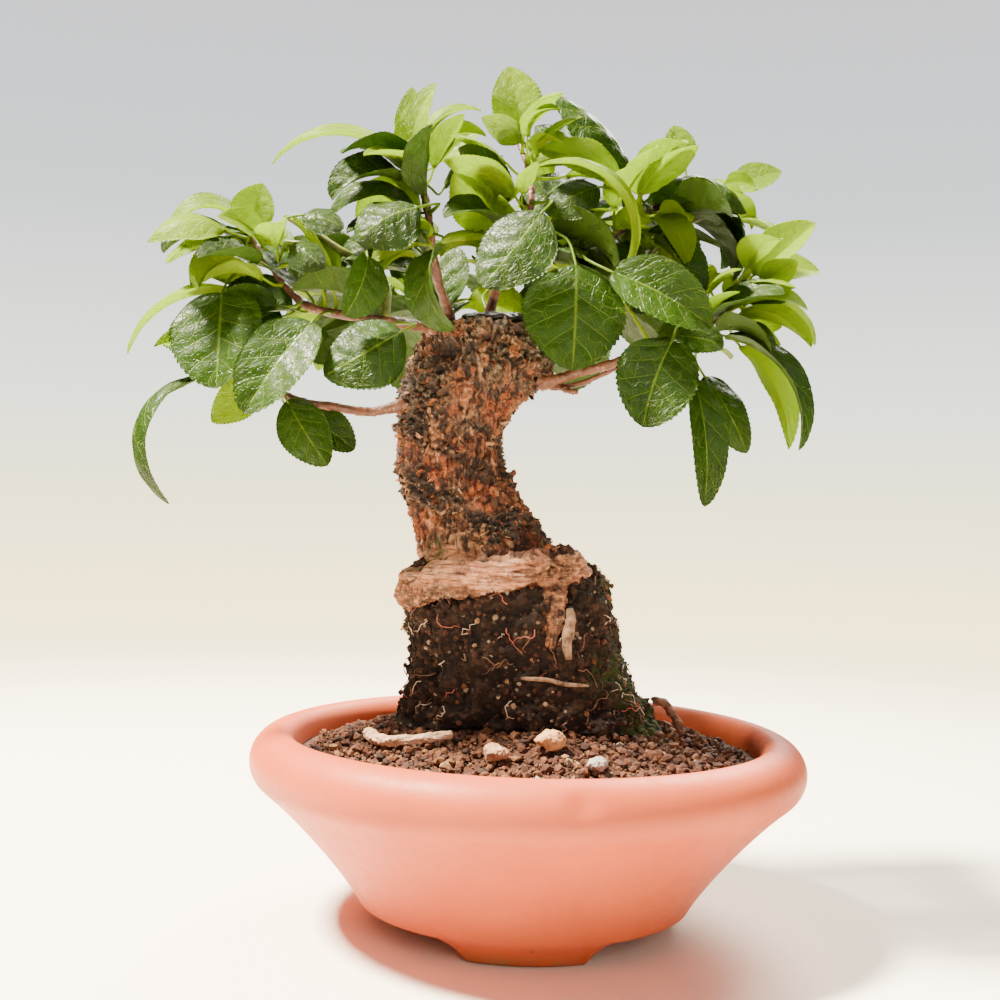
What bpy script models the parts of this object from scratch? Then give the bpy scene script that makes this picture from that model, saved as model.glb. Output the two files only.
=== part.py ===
"""A small bonsai: a bent trunk on a raised root mound, in a round pot with a rolled rim and three feet.

Everything is built about the pot's axis with the feet on z = 0, and at the end the whole object is moved
so that the origin is the middle of the bottom of its bounding box.
"""

import math

import bmesh
import bpy
from mathutils import Matrix, Vector
from mathutils.bvhtree import BVHTree

MM = 0.001
GAP = 0.3 * MM  # clearance between neighbouring pieces
CLEARING_STEP = 0.2 * MM  # a piece that would touch another moves off by these steps

# Pot
RIM_RADIUS = 75 * MM  # widest point of the rolled rim
RIM_ROLL = 8 * MM  # radius of the roll, outside
RIM_HEIGHT = 52 * MM  # crest of the rim
RIM_INNER_ROLL = 5 * MM
BASE_RADIUS = 45 * MM  # where the wall meets the feet
FOOT_RADIUS = 40.5 * MM  # at the ground
FOOT_HEIGHT = 6.5 * MM
FOOT_RING = 9 * MM  # width of the foot ring
FOOT_COUNT = 3
FOOT_ARC = math.radians(44)  # angle that one foot takes at the ground
ARCH_STEPS = 14
ARCH_SQUARENESS = 7  # a higher power gives the arch between two feet squarer shoulders
FOOT_EDGE = 1 * MM  # chamfer of a foot's outer edge, and the depth of clay left over an arch
UNDERSIDE_EDGE = 1.5 * MM  # chamfer between the foot ring and the underside
FLOOR_UNDERSIDE = 5.5 * MM
FLOOR_THICKNESS = 5 * MM
WALL = 5 * MM
DRAIN_RADIUS = 9 * MM
POT_SIDES = 40

# Drain mesh over the hole
MESH_SIDE = 25 * MM
MESH_THICKNESS = 1 * MM
MESH_CELLS = 7

# Soil
SOIL_LEVEL = 46 * MM  # at the wall
SOIL_HEAP = 13 * MM  # how much higher it stands in the middle
SOIL_SLOPE = 1.6  # a higher power gathers the heap towards the middle
SOIL_RINGS = (0.86, 0.72, 0.58, 0.44, 0.28, 0.12)  # where its top has corners, as shares of its radius

# Root mound, with its foot on the heap of soil
MOUND_TOP = 97.4 * MM
MOUND_SIDES = 28
MOUND_STEPS = 11
MOUND_SQUARENESS = 2.6  # 2 is an ellipse, and a higher power is squarer
MOUND_LUMPS = 0.02  # as a share of its half width

# Trunk
TRUNK_HEIGHT = 64.3 * MM
TRUNK_SIDES = 24
TRUNK_SQUARENESS = 2.1
TRUNK_LUMPS = 0.025
SHELF_ROOT_RADIUS = 4.8 * MM
PASTE_RADIUS = 9 * MM
PASTE_DEPTH = 0.7  # from front to back, as a share of its width
PASTE_HEIGHT = 2.6 * MM
PASTE_PLACE = (-12 * MM, -3 * MM)
PASTE_SIDES = 16
PASTE_RINGS = ((0.75, 0), (1, 0.25), (1, 0.6), (0.7, 0.95), (0.3, 1))  # shares of its radius and height

# Crown
CROWN_SCALE = 1.0  # spread of the branches and leaves about the crown's point
CROWN_POINT = (-16 * MM, 0, -2 * MM)  # seen from the pot's axis, and from the top of the trunk
LEAF_SCALE = 1.0
LEAF_TOP = 0.35 * MM  # blade above and below its middle surface, at the midrib
LEAF_RIB = 0.45 * MM
RIB_HALF_WIDTH = 0.25 * MM
PETIOLE_RADIUS = 0.55 * MM
BRANCH_SIDES = 8

# Each section of the mound: share of its height, then its left, right, front and back in mm.
MOUND_SECTIONS = (
    (0.00, -36, 37, -27, 28),
    (0.16, -32.5, 31, -24.5, 25),
    (0.44, -32.5, 25, -23, 24),
    (0.70, -33, 22.5, -22.5, 23),
    (0.88, -33.5, 20, -21, 21.5),
    (1.00, -30, 14.5, -17, 18),
)

# Each section of the trunk, in the same way.
TRUNK_SECTIONS = (
    (0.00, -31, 5, -17, 13),
    (0.06, -31, 3.5, -15.5, 13),
    (0.18, -33, 0, -13, 12),
    (0.30, -35.5, -6, -12, 11),
    (0.46, -37.4, -10.6, -11, 11),
    (0.60, -36.6, -8.7, -11.5, 11),
    (0.70, -36.4, -3.4, -12, 12),
    (0.82, -35, 2.7, -13, 13),
    (0.91, -33, 3, -13, 13),
    (0.98, -30, 0, -12, 12),
    (1.00, -28, -3, -10, 10),
)

TRUNK_SHARES = (0, 0.06, 0.13, 0.2, 0.28, 0.36, 0.45, 0.54, 0.62, 0.69, 0.76, 0.84, 0.91, 0.97, 1)

# The thick root that the trunk stands on, and the one that runs down from it: x, y, height from the mound's
# top in mm, and radius as a share of SHELF_ROOT_RADIUS.
SHELF_ROOT = (
    (-32, -7, -8.5, 0.85),
    (-30, -14, -6, 1.0),
    (-22, -17, -4.5, 1.05),
    (-10, -17.5, -3, 1.0),
    (0, -16.5, -1, 1.05),
    (8, -12, -0.5, 1.2),
    (11, -5, -3, 0.9),
)
DESCENDING_ROOT = (
    (5, -15, -2, 0.8),
    (5.5, -18.5, -9, 0.75),
    (5, -20.5, -15, 0.6),
    (4.5, -21.5, -22, 0.4),
)

# Branches: name, radius at the trunk and at the end in mm, and points from the crown's point in mm.
BRANCHES = (
    ("low_left_branch", 1.5, 0.9,
     ((-20, -4, -21), (-29, -6, -23), (-38, -10, -22), (-47, -12, -21), (-55, -13, -18), (-64, -14, -14),
      (-72, -14, -12))),
    ("upper_left_branch", 1.6, 0.8,
     ((-13, -8, -1), (-22, -18, 0), (-34, -21, 1), (-46, -19, 4), (-56, -16, 15), (-62, -14, 23))),
    ("crown_left_branch", 1.6, 0.8,
     ((-9, -5, 2), (-12, -13, 14), (-14, -19, 28), (-18, -10, 42))),
    ("crown_centre_branch", 1.7, 0.7,
     ((2, 7, 2), (5, -8, 14), (12, -21, 28), (12, -18, 39), (9, -12, 49))),
    ("crown_right_branch", 1.7, 0.8,
     ((12, 7, 1), (22, -4, 17), (30, -10, 22), (45, -9, 33), (58, -2, 40))),
    ("right_branch", 1.7, 0.8,
     ((18, -4, -14), (26, -8, -11), (35, -14, -9), (47, -22, -4), (57, -20, -1), (67, -13, 9))),
    ("back_left_branch", 1.5, 0.7,
     ((-8, 10, -2), (-14, 22, 8), (-26, 34, 12), (-38, 44, 18))),
    ("back_right_branch", 1.5, 0.7,
     ((8, 11, -3), (18, 22, 6), (32, 32, 12), (44, 40, 20))),
)

# Leaves. Base of the blade from the crown's point, in mm; azimuth and elevation of its start, and how far
# its face is rolled from facing up, in degrees; how far it curves down over its length, in degrees; length
# and width in mm; and the angle of each half of the blade from its flat, positive where the halves rise.
LEAVES = (
    ("mature", (-67, -20, 6), -90, -55, -15, 25, 28, 26, 10),
    ("mature", (-42, -30, -2), -135, -40, 30, 35, 30, 20, 14),
    ("mature", (-19, -33, -4), -150, -25, 60, 35, 23, 20, -12),
    ("mature", (-16, -33, 27), -140, -15, 45, 55, 19, 18, -18),
    ("mature", (-18, -14, 31), -130, 50, 40, 135, 29, 14, -15),
    ("mature", (-11, -5, 38), -70, 65, -75, 105, 21, 13, -12),
    ("mature", (15, -36, 26), -145, -45, 45, 25, 25, 20, -10),
    ("mature", (-10, -28, 18), -145, -35, -10, 125, 26, 16, 20),
    ("mature", (24, -32, 14), -90, -65, 5, 25, 28, 27, -8),
    ("mature", (32, -38, 13), -20, -20, -65, 45, 29, 17, 18),
    ("mature", (40, -10, 41), -140, 55, 70, 45, 31, 20, -22),
    ("mature", (30, -26, 36), -150, -15, 55, 45, 16, 13, -15),
    ("mature", (43, -10, 35), -45, 45, -45, 125, 33, 20, -22),
    ("mature", (66, -15, 12), -20, 5, -50, 35, 17, 11, -12),
    ("mature", (48, -36, -5), -135, -65, 45, 20, 23, 21, 10),
    ("mature", (63, -25, -2), -25, -10, -10, 95, 39, 15, 15),
    ("mature", (56, -20, -13), -60, -60, -5, 45, 34, 12, 18),
    ("mature", (60, -10, -11), -50, -35, -30, 65, 25, 13, -15),
    ("mature", (-72, -14, -15), -155, 0, -5, 150, 48, 13, -20),
    ("mature", (-50, -16, -21), -40, -45, -50, 45, 21, 14, -12),
    ("mature", (-49, -4, -23), -10, -25, -60, 35, 19, 12, 10),
    ("mature", (-40, 46, 14), 120, 0, 0, 50, 26, 20, 10),
    ("mature", (-24, 38, 6), 90, -20, 10, 50, 28, 22, -10),
    ("mature", (26, 34, 6), 80, -15, -10, 50, 28, 22, 12),
    ("mature", (46, 42, 16), 50, 0, 0, 55, 26, 20, -12),
    ("mature", (2, 20, 16), 90, 30, 0, 70, 28, 20, 12),
    ("young", (-20, 0, 42), -135, 50, 45, 115, 45, 11, 15),
    ("young", (-63, -10, 24), -115, 55, 50, 150, 27, 12, 15),
    ("young", (-60, -16, 24), -60, 65, -145, 25, 12, 12, 10),
    ("young", (-61, -8, 10), -170, 25, 65, 35, 17, 10, 20),
    ("young", (-60, -12, 7), -150, 20, 15, 95, 40, 12, 15),
    ("young", (-20, 6, 49), -100, 80, 170, 20, 19, 9, 15),
    ("young", (-17, -5, 42), -75, 65, -140, 45, 26, 10, 18),
    ("young", (37, -30, 14), -40, 60, 145, 135, 43, 9, 18),
    ("young", (9, -12, 51), -135, 75, 135, 25, 19, 14, 12),
    ("young", (9, -16, 48), -140, 35, 80, 55, 13, 10, -10),
    ("young", (69, 10, 43), -10, 30, -70, 35, 16, 10, 12),
    ("young", (75, 0, 18), -10, 15, -55, 35, 18, 12, 12),
    ("young", (69, -12, -3), -35, -35, -20, 65, 32, 13, 15),
    ("young", (-36, 42, 22), 150, 40, 10, 60, 22, 13, 14),
    ("young", (42, 38, 24), 30, 45, -10, 70, 22, 13, 14),
)
BLADE_SWELL = 0.84  # under 1, the widest place is nearer the petiole
BLADE_FULLNESS = 0.62
BLADE_SHARES = (0.08, 0.22, 0.4, 0.58, 0.76, 0.91)  # where the blade's sections are, along its length
PETIOLE_SHARES = (0, 0.3, 0.62)  # and the petiole's
TURN_STEP = math.radians(6)  # a leaf that would meet its neighbour turns and moves by these steps
SHIFT_STEP = 1.5 * MM
MOST_STEPS = 7

# Stones on the soil: name, x and y in mm, its three radii in mm, and its turn in degrees.
STONES = (
    ("ochre_stone", 5, -37, (4.2, 3.0, 2.6), 20),
    ("brown_stone", -9, -43, (3.4, 2.6, 2.2), -35),
    ("grey_stone", 16, -45, (3.0, 2.4, 1.9), 60),
)

# Roots on the soil: name, colour, plan in mm, radius at the thick end and height of the hump in mm.
SURFACE_ROOTS = (
    ("pale_surface_root", "pale_root", ((-42, -18), (-38, -26), (-30, -30), (-20, -31)), 1.6, 0),
    ("dark_surface_root", "dark_root", ((33, -8), (37, -9), (41, -10)), 1.3, 4),
)
ROOT_SIDES = 8

COLOURS = {
    "ceramic": ((0.80, 0.33, 0.22), 0.45),
    "plastic": ((0.03, 0.03, 0.03), 0.5),
    "soil": ((0.09, 0.035, 0.015), 0.95),
    "mound": ((0.035, 0.016, 0.009), 0.95),
    "bark": ((0.22, 0.10, 0.05), 0.9),
    "paste": ((0.008, 0.008, 0.009), 0.45),
    "pale_root": ((0.50, 0.26, 0.14), 0.8),
    "dark_root": ((0.12, 0.05, 0.03), 0.8),
    "twig": ((0.20, 0.07, 0.03), 0.6),
    "mature": ((0.035, 0.12, 0.02), 0.35),
    "young": ((0.27, 0.45, 0.04), 0.45),
    "ochre_stone": ((0.50, 0.24, 0.09), 0.9),
    "brown_stone": ((0.25, 0.12, 0.06), 0.9),
    "grey_stone": ((0.20, 0.17, 0.14), 0.9),
}


def material(kind):
    found = bpy.data.materials.get(kind)
    if found:
        return found
    colour, roughness = COLOURS[kind]
    made = bpy.data.materials.new(kind)
    made.use_nodes = True
    shader = made.node_tree.nodes["Principled BSDF"]
    shader.inputs["Base Color"].default_value = (*colour, 1)
    shader.inputs["Roughness"].default_value = roughness
    shader.inputs["Metallic"].default_value = 0
    return made


def face_outwards(mesh):
    shape = bmesh.new()
    shape.from_mesh(mesh)
    bmesh.ops.recalc_face_normals(shape, faces=shape.faces)
    shape.to_mesh(mesh)
    shape.free()


def add_object(name, vertices, faces, kind, sharp=40):
    mesh = bpy.data.meshes.new(name)
    mesh.from_pydata([tuple(v) for v in vertices], [], faces)
    face_outwards(mesh)
    mesh.materials.append(material(kind))
    mesh.shade_smooth()
    mesh.set_sharp_from_angle(angle=math.radians(sharp))
    made = bpy.data.objects.new(name, mesh)
    bpy.context.scene.collection.objects.link(made)
    return made


def add_cutter(name, vertices, faces):
    made = add_object(name, vertices, faces, "plastic")
    made.hide_render = True
    made.hide_set(True)
    made.display_type = "WIRE"
    return made


def add_boolean(target, operation, tool):
    boolean = target.modifiers.new(operation.lower() + "_" + tool.name, "BOOLEAN")
    boolean.operation = operation
    boolean.solver = "EXACT"
    boolean.object = tool


def surface(made):
    """The object's finished surface, to measure against."""
    bpy.context.view_layer.update()
    return BVHTree.FromObject(made, bpy.context.evaluated_depsgraph_get())


def obstacle(made):
    """The object's finished surface in millimetres: faces this small would pass unnoticed in metres."""
    bpy.context.view_layer.update()
    mesh = made.evaluated_get(bpy.context.evaluated_depsgraph_get()).data
    corners = [tuple(vertex.co / MM) for vertex in mesh.vertices]
    return BVHTree.FromPolygons(corners, [tuple(face.vertices) for face in mesh.polygons])


def loft(rings, start_closed=True, end_closed=True):
    """Vertices and faces of a skin over closed rings of equal length, with flat ends or open ones."""
    sides = len(rings[0])
    vertices = [point for ring in rings for point in ring]
    faces = []
    for low in range(0, sides * (len(rings) - 1), sides):
        for side in range(sides):
            after = (side + 1) % sides
            faces.append((low + side, low + after, low + sides + after, low + sides + side))
    if start_closed:
        faces.append(tuple(reversed(range(sides))))
    if end_closed:
        top = sides * (len(rings) - 1)
        faces.append(tuple(range(top, top + sides)))
    return vertices, faces


def smooth_between(rows, share):
    """A row of values read from a smooth curve through the rows, by the first value of each."""
    index = max(i for i in range(len(rows) - 1) if rows[i][0] <= share + 1e-9)
    before, low, high, after = (rows[min(max(index + k, 0), len(rows) - 1)] for k in (-1, 0, 1, 2))
    t = (share - low[0]) / (high[0] - low[0])
    values = []
    for a, b, c, d in zip(before[1:], low[1:], high[1:], after[1:]):
        curve = 2 * b + (c - a) * t + (2 * a - 5 * b + 4 * c - d) * t**2 + (3 * b - a - 3 * c + d) * t**3
        values.append(curve / 2)
    return values


def block_section(limits, sides, squareness, lumps, height):
    """A rounded, slightly lumpy outline inside left, right, front and back, at one height."""
    left, right, front, back = (value * MM for value in limits)
    middle_x, half_x = (left + right) / 2, (right - left) / 2
    ring = []
    for side in range(sides):
        angle = math.tau * side / sides
        across, along = math.cos(angle), math.sin(angle)
        reach = (abs(across) ** squareness + abs(along) ** squareness) ** (-1 / squareness)
        lump = 1 + lumps * (math.sin(3 * angle + 90 * height) + 0.6 * math.sin(7 * angle - 160 * height))
        depth = back if along > 0 else -front
        reach *= lump
        ring.append(Vector((middle_x + half_x * across * reach, depth * along * reach, height)))
    return ring


def bezier(start, out, into, end, steps):
    """Points along a cubic curve in the profile plane, without its first point."""
    points = []
    for step in range(1, steps + 1):
        t = step / steps
        weights = ((1 - t) ** 3, 3 * t * (1 - t) ** 2, 3 * t * t * (1 - t), t**3)
        pairs = list(zip(weights, (start, out, into, end)))
        points.append(tuple(sum(weight * point[k] for weight, point in pairs) for k in (0, 1)))
    return points


def arc(centre, radii, start, end, steps):
    points = []
    for step in range(steps + 1):
        angle = math.radians(start + (end - start) * step / steps)
        points.append((centre[0] + radii[0] * math.cos(angle), centre[1] + radii[1] * math.sin(angle)))
    return points


def turned(profile):
    """A closed profile of (radius, height) turned full circle."""
    rings = []
    for side in range(POT_SIDES):
        angle = math.tau * side / POT_SIDES
        rings.append([Vector((r * math.cos(angle), r * math.sin(angle), z)) for r, z in profile])
    vertices, faces = loft(rings, False, False)
    count, last = len(profile), len(profile) * (POT_SIDES - 1)
    for k in range(count):
        after = (k + 1) % count
        faces.append((last + k, last + after, after, k))
    return vertices, faces


def rim_centre():
    return RIM_RADIUS - RIM_ROLL, RIM_HEIGHT - RIM_ROLL


def inner_wall(clearance):
    """From under the rim down to the floor, in the profile plane, moved inwards by the clearance."""
    top = (rim_centre()[0] - RIM_INNER_ROLL + 0.5 * MM - clearance, SOIL_LEVEL)
    floor = FLOOR_UNDERSIDE + FLOOR_THICKNESS
    bottom = (BASE_RADIUS - WALL - clearance, floor)
    out = (top[0] - 1 * MM, top[1] - 10 * MM)
    into = (bottom[0] + 9 * MM, floor + 9 * MM)
    return [top] + bezier(top, out, into, bottom, 4)


def make_pot():
    centre = rim_centre()
    roll = arc(centre, (RIM_ROLL, RIM_ROLL), -50, 90, 8)
    wall_start = (BASE_RADIUS, FOOT_HEIGHT)
    wall_end = roll[0]
    steep = (BASE_RADIUS + 5 * MM, FOOT_HEIGHT + 9 * MM)
    into = (wall_end[0] - 8 * MM, wall_end[1] - 6.5 * MM)
    lip_radii = (centre[0] - inner_wall(0)[0][0], RIM_HEIGHT - SOIL_LEVEL)
    lip = arc((centre[0], SOIL_LEVEL), lip_radii, 90, 180, 4)
    ring_inside = FOOT_RADIUS - FOOT_RING
    profile = [
        (DRAIN_RADIUS, FLOOR_UNDERSIDE),
        (ring_inside - UNDERSIDE_EDGE, FLOOR_UNDERSIDE),
        (ring_inside, FLOOR_UNDERSIDE - UNDERSIDE_EDGE),
        (ring_inside, 0),
        (FOOT_RADIUS - FOOT_EDGE, 0),
        (FOOT_RADIUS, FOOT_EDGE),
    ]
    profile += [wall_start]
    profile += bezier(wall_start, steep, into, wall_end, 6)
    profile += roll[1:]
    profile += lip[1:]
    profile += inner_wall(0)[1:]
    profile += [(DRAIN_RADIUS, FLOOR_UNDERSIDE + FLOOR_THICKNESS)]
    pot = add_object("pot", *turned(profile), "ceramic")
    for foot in range(FOOT_COUNT):
        middle = -math.pi / 2 + math.tau * (foot + 0.5) / FOOT_COUNT
        add_boolean(pot, "DIFFERENCE", make_arch_cutter(foot, middle))
    return pot


def make_arch_cutter(number, middle):
    """The space between two feet: a sector with rounded shoulders, from below the ground up to the wall."""
    half_angle = (math.tau / FOOT_COUNT - FOOT_ARC) / 2
    inside = FOOT_RADIUS - FOOT_RING - 3 * MM
    outside = BASE_RADIUS + 6 * MM
    rings = []
    for step in range(ARCH_STEPS + 1):
        share = 2 * step / ARCH_STEPS - 1
        angle = middle + share * half_angle
        top = (FOOT_HEIGHT - FOOT_EDGE) * (1 - abs(share) ** ARCH_SQUARENESS)
        corners = ((inside, -2 * MM), (inside, top), (outside, top), (outside, -2 * MM))
        rings.append([Vector((r * math.cos(angle), r * math.sin(angle), z)) for r, z in corners])
    return add_cutter(f"arch_cutter_{number + 1}", *loft(rings))


def make_drain_mesh():
    """A square of moulded mesh, flat on the pot's floor."""
    shape = bmesh.new()
    bmesh.ops.create_grid(shape, x_segments=MESH_CELLS, y_segments=MESH_CELLS, size=MESH_SIDE / 2)
    cell = MESH_SIDE / MESH_CELLS
    holes = []
    for face in shape.faces:
        middle = face.calc_center_median()
        column, row = (round((value + MESH_SIDE / 2) / cell - 0.5) for value in (middle.x, middle.y))
        if column % 2 and row % 2:
            holes.append(face)
    bmesh.ops.delete(shape, geom=holes, context="FACES")
    mesh = bpy.data.meshes.new("drain_mesh")
    shape.to_mesh(mesh)
    shape.free()
    mesh.materials.append(material("plastic"))
    made = bpy.data.objects.new("drain_mesh", mesh)
    bpy.context.scene.collection.objects.link(made)
    made.location.z = FLOOR_UNDERSIDE + FLOOR_THICKNESS + GAP
    solidify = made.modifiers.new("thickness", "SOLIDIFY")
    solidify.thickness = MESH_THICKNESS
    solidify.offset = 1
    return made


def soil_height(x, y):
    reach = min(math.hypot(x, y) / inner_wall(0)[0][0], 1)
    return SOIL_LEVEL + SOIL_HEAP * (1 - reach**2) ** SOIL_SLOPE


def make_soil():
    floor = FLOOR_UNDERSIDE + FLOOR_THICKNESS + GAP
    over_mesh = floor + MESH_THICKNESS + GAP
    pocket = MESH_SIDE / math.sqrt(2) + 2 * GAP
    side = inner_wall(1.5 * GAP)
    outer = side[0][0]
    profile = [(pocket, over_mesh), (pocket, floor), (side[-1][0], floor)]
    profile += list(reversed(side[:-1]))
    for share in SOIL_RINGS:
        profile.append((outer * share, soil_height(outer * share, 0)))
    rings = []
    for radius, height in profile:
        angles = (math.tau * k / POT_SIDES for k in range(POT_SIDES))
        rings.append([Vector((radius * math.cos(a), radius * math.sin(a), height)) for a in angles])
    return add_object("soil_bed", *loft(rings), "soil")


def make_mound():
    outline = block_section(MOUND_SECTIONS[0][1:], MOUND_SIDES, MOUND_SQUARENESS, MOUND_LUMPS, SOIL_LEVEL)
    rings = []
    for share in (0.15, 0.38, 0.6, 0.82, 1):
        ring = [(share * corner.x, share * corner.y) for corner in outline]
        rings.append([Vector((x, y, soil_height(x, y) + GAP)) for x, y in ring])
    foot = rings[-1]
    for step in range(1, MOUND_STEPS + 1):
        share = step / MOUND_STEPS
        limits = smooth_between(MOUND_SECTIONS, share)
        level = block_section(limits, MOUND_SIDES, MOUND_SQUARENESS, MOUND_LUMPS, SOIL_LEVEL + SOIL_HEAP)
        ring = []
        for corner, low in zip(level, foot):
            ring.append(Vector((corner.x, corner.y, low.z + (MOUND_TOP - low.z) * share)))
        rings.append(ring)
    mound = add_object("root_mound", *loft(rings), "mound")
    for name, route in (("shelf_groove", SHELF_ROOT), ("descending_groove", DESCENDING_ROOT)):
        groove = add_cutter(name, *root_shape(route, 1.5 * GAP))
        add_boolean(mound, "DIFFERENCE", groove)
    return mound


def frames_along(points):
    """A direction, a side and an upward vector at each point, without twist along the route."""
    frames = []
    side = None
    for index, point in enumerate(points):
        before, after = points[max(index - 1, 0)], points[min(index + 1, len(points) - 1)]
        direction = (after - before).normalized()
        if side is None:
            side = direction.cross(Vector((0, 0, 1)))
            side = side if side.length > 0.1 else direction.cross(Vector((0, 1, 0)))
        side = (side - direction * side.dot(direction)).normalized()
        frames.append((direction, side, side.cross(direction)))
    return frames


def tube(points, radii, sides, first_normal=None):
    """A round tube along the points; its first ring can be turned to lie flat on a surface."""
    frames = frames_along(points)
    if first_normal:
        side = (frames[0][1] - first_normal * frames[0][1].dot(first_normal)).normalized()
        frames[0] = (first_normal, side, side.cross(first_normal))
    rings = []
    for point, radius, (_, side, up) in zip(points, radii, frames):
        ring = []
        for k in range(sides):
            angle = math.tau * k / sides
            ring.append(point + side * (radius * math.cos(angle)) + up * (radius * math.sin(angle)))
        rings.append(list(reversed(ring)))
    return loft(rings)


def through(points, steps):
    """A smooth curve through the points, with this many steps between neighbours."""
    rows = [(index, *point) for index, point in enumerate(points)]
    count = (len(points) - 1) * steps
    return [Vector(smooth_between(rows, step / steps)) if step < count else Vector(points[-1])
            for step in range(count + 1)]


def root_shape(route, clearance):
    points = through([(x * MM, y * MM, MOUND_TOP + z * MM) for x, y, z, _ in route], 2)
    sizes = through([(share * SHELF_ROOT_RADIUS, 0, 0) for *_, share in route], 2)
    if clearance:
        points[0] -= (points[1] - points[0]).normalized() * clearance
        points[-1] += (points[-1] - points[-2]).normalized() * clearance
    return tube(points, [size.x + clearance for size in sizes], 10)


def make_trunk():
    base = MOUND_TOP + GAP
    rings = []
    for share in TRUNK_SHARES:
        limits = smooth_between(TRUNK_SECTIONS, share) if share < 1 else TRUNK_SECTIONS[-1][1:]
        height = base + TRUNK_HEIGHT * share
        rings.append(block_section(limits, TRUNK_SIDES, TRUNK_SQUARENESS, TRUNK_LUMPS, height))
    trunk = add_object("trunk", *loft(rings), "bark")
    for name, route in (("shelf_root_shape", SHELF_ROOT), ("descending_root_shape", DESCENDING_ROOT)):
        add_boolean(trunk, "UNION", add_cutter(name, *root_shape(route, 0)))
    return trunk


def trunk_top():
    return MOUND_TOP + GAP + TRUNK_HEIGHT


def make_paste():
    """A pad of sealing paste on the cut top of the trunk."""
    rings = []
    low = trunk_top() + GAP
    for share, height in PASTE_RINGS:
        ring = []
        for side in range(PASTE_SIDES):
            angle = math.tau * side / PASTE_SIDES
            reach = PASTE_RADIUS * share * (1 + 0.08 * math.sin(2 * angle) + 0.05 * math.sin(5 * angle))
            x = PASTE_PLACE[0] + reach * math.cos(angle)
            y = PASTE_PLACE[1] + reach * math.sin(angle) * PASTE_DEPTH
            ring.append(Vector((x, y, low + PASTE_HEIGHT * height)))
        rings.append(ring)
    return add_object("wound_paste", *loft(rings), "paste")


def crown(point):
    """A place in the crown, from its own point in mm."""
    start = Vector((CROWN_POINT[0], CROWN_POINT[1], trunk_top() + CROWN_POINT[2]))
    return start + Vector(point) * (MM * CROWN_SCALE)


def is_clear(shape, obstacles):
    tree = BVHTree.FromPolygons([tuple(corner / MM) for corner in shape[0]], shape[1])
    return not any(tree.overlap(other) for other in obstacles)


def make_branch(name, thick, thin, route, trunk, obstacles):
    """A tapered stem whose flat end stands just off the trunk, and further off until it's clear."""
    points = [crown(p) for p in route]
    seat, normal, _, _ = trunk.find_nearest(points[0])
    for step in range(30):
        start = seat + normal * (GAP + step * CLEARING_STEP)
        line = through([start, start + normal * 2 * MM] + points[1:], 3)
        radii = [MM * (thick + (thin - thick) * index / (len(line) - 1)) for index in range(len(line))]
        shape = tube(line, radii, BRANCH_SIDES, normal)
        spare = [radius + 0.5 * GAP for radius in radii]
        guard = tube([start - normal * 0.5 * GAP] + line[1:], spare, BRANCH_SIDES, normal)
        if is_clear(shape, obstacles) and is_clear(guard, obstacles):
            break
    return add_object(name, *shape, "twig")


def blade_width(share):
    """The share of the full width that the blade has at this share of its length."""
    return math.sin(math.pi * share**BLADE_SWELL) ** BLADE_FULLNESS


def leaf_section(centre, across, up, half, thick, rib, lift, spare):
    """Five points: left edge, upper middle, right edge, and the two sides of the rib."""
    reach = half * math.cos(lift) + spare
    raised = half * math.sin(lift)
    return [
        centre - across * reach + up * raised,
        centre + up * (thick + spare),
        centre + across * reach + up * raised,
        centre + across * (rib + spare) - up * (LEAF_RIB + spare),
        centre - across * (rib + spare) - up * (LEAF_RIB + spare),
    ]


def petiole_sections(start, heading, side, normal, stems, spare):
    """Sections along a curve from the nearest stem to the start of the blade."""
    seat, seat_normal = nearest_seat(start - heading * 5 * MM, stems)
    root = seat + seat_normal * (1.5 * GAP)
    pull = (start - root).length * 0.5
    a, b, c, d = root, root + seat_normal * pull, start - heading * pull, start
    sizes = (PETIOLE_RADIUS, PETIOLE_RADIUS, RIB_HALF_WIDTH, 0, spare)
    rings = []
    for t in PETIOLE_SHARES:
        back = 1 - t
        point = a * back**3 + b * 3 * t * back**2 + c * 3 * t**2 * back + d * t**3
        along = ((b - a) * back**2 + (c - b) * 2 * t * back + (d - c) * t**2).normalized()
        across = (side - along * side.dot(along)).normalized()
        rings.append(leaf_section(point, across, along.cross(across), *sizes))
    rings.append(leaf_section(start, side, normal, *sizes))
    return rings


def leaf_shape(row, turn, shift, stems, spare):
    """A petiole from the nearest stem, and a thin folded blade with a rib below that ends in a point."""
    _, base, azimuth, elevation, roll, droop, length, width, fold = row
    azimuth, elevation, roll, droop = (math.radians(v) for v in (azimuth, elevation, roll, droop))
    azimuth += turn
    length, width = length * MM * LEAF_SCALE, width * MM * LEAF_SCALE
    flat = Vector((math.cos(azimuth), math.sin(azimuth), 0))
    heading = flat * math.cos(elevation) + Vector((0, 0, math.sin(elevation)))
    side = Matrix.Rotation(-roll, 3, heading) @ Vector((0, 0, 1)).cross(heading).normalized()
    normal = heading.cross(side)
    start = crown(base) + normal * shift
    rings = petiole_sections(start, heading, side, normal, stems, spare)
    for share in BLADE_SHARES:
        half = max(width / 2 * blade_width(share), PETIOLE_RADIUS)
        centre, up = blade_middle(start, heading, normal, length, droop, share)
        thinner = 1 - 0.5 * share
        lift = math.radians(fold)
        rings.append(leaf_section(centre, side, up, half, LEAF_TOP * thinner, RIB_HALF_WIDTH * thinner,
                                  lift, spare))
    vertices, faces = loft([list(reversed(ring)) for ring in rings], end_closed=False)
    vertices.append(blade_middle(start, heading, normal, length, droop, 1)[0])
    tip, last = len(vertices) - 1, 5 * (len(rings) - 1)
    for k in range(5):
        faces.append((last + k, last + (k + 1) % 5, tip))
    return vertices, faces


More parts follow.
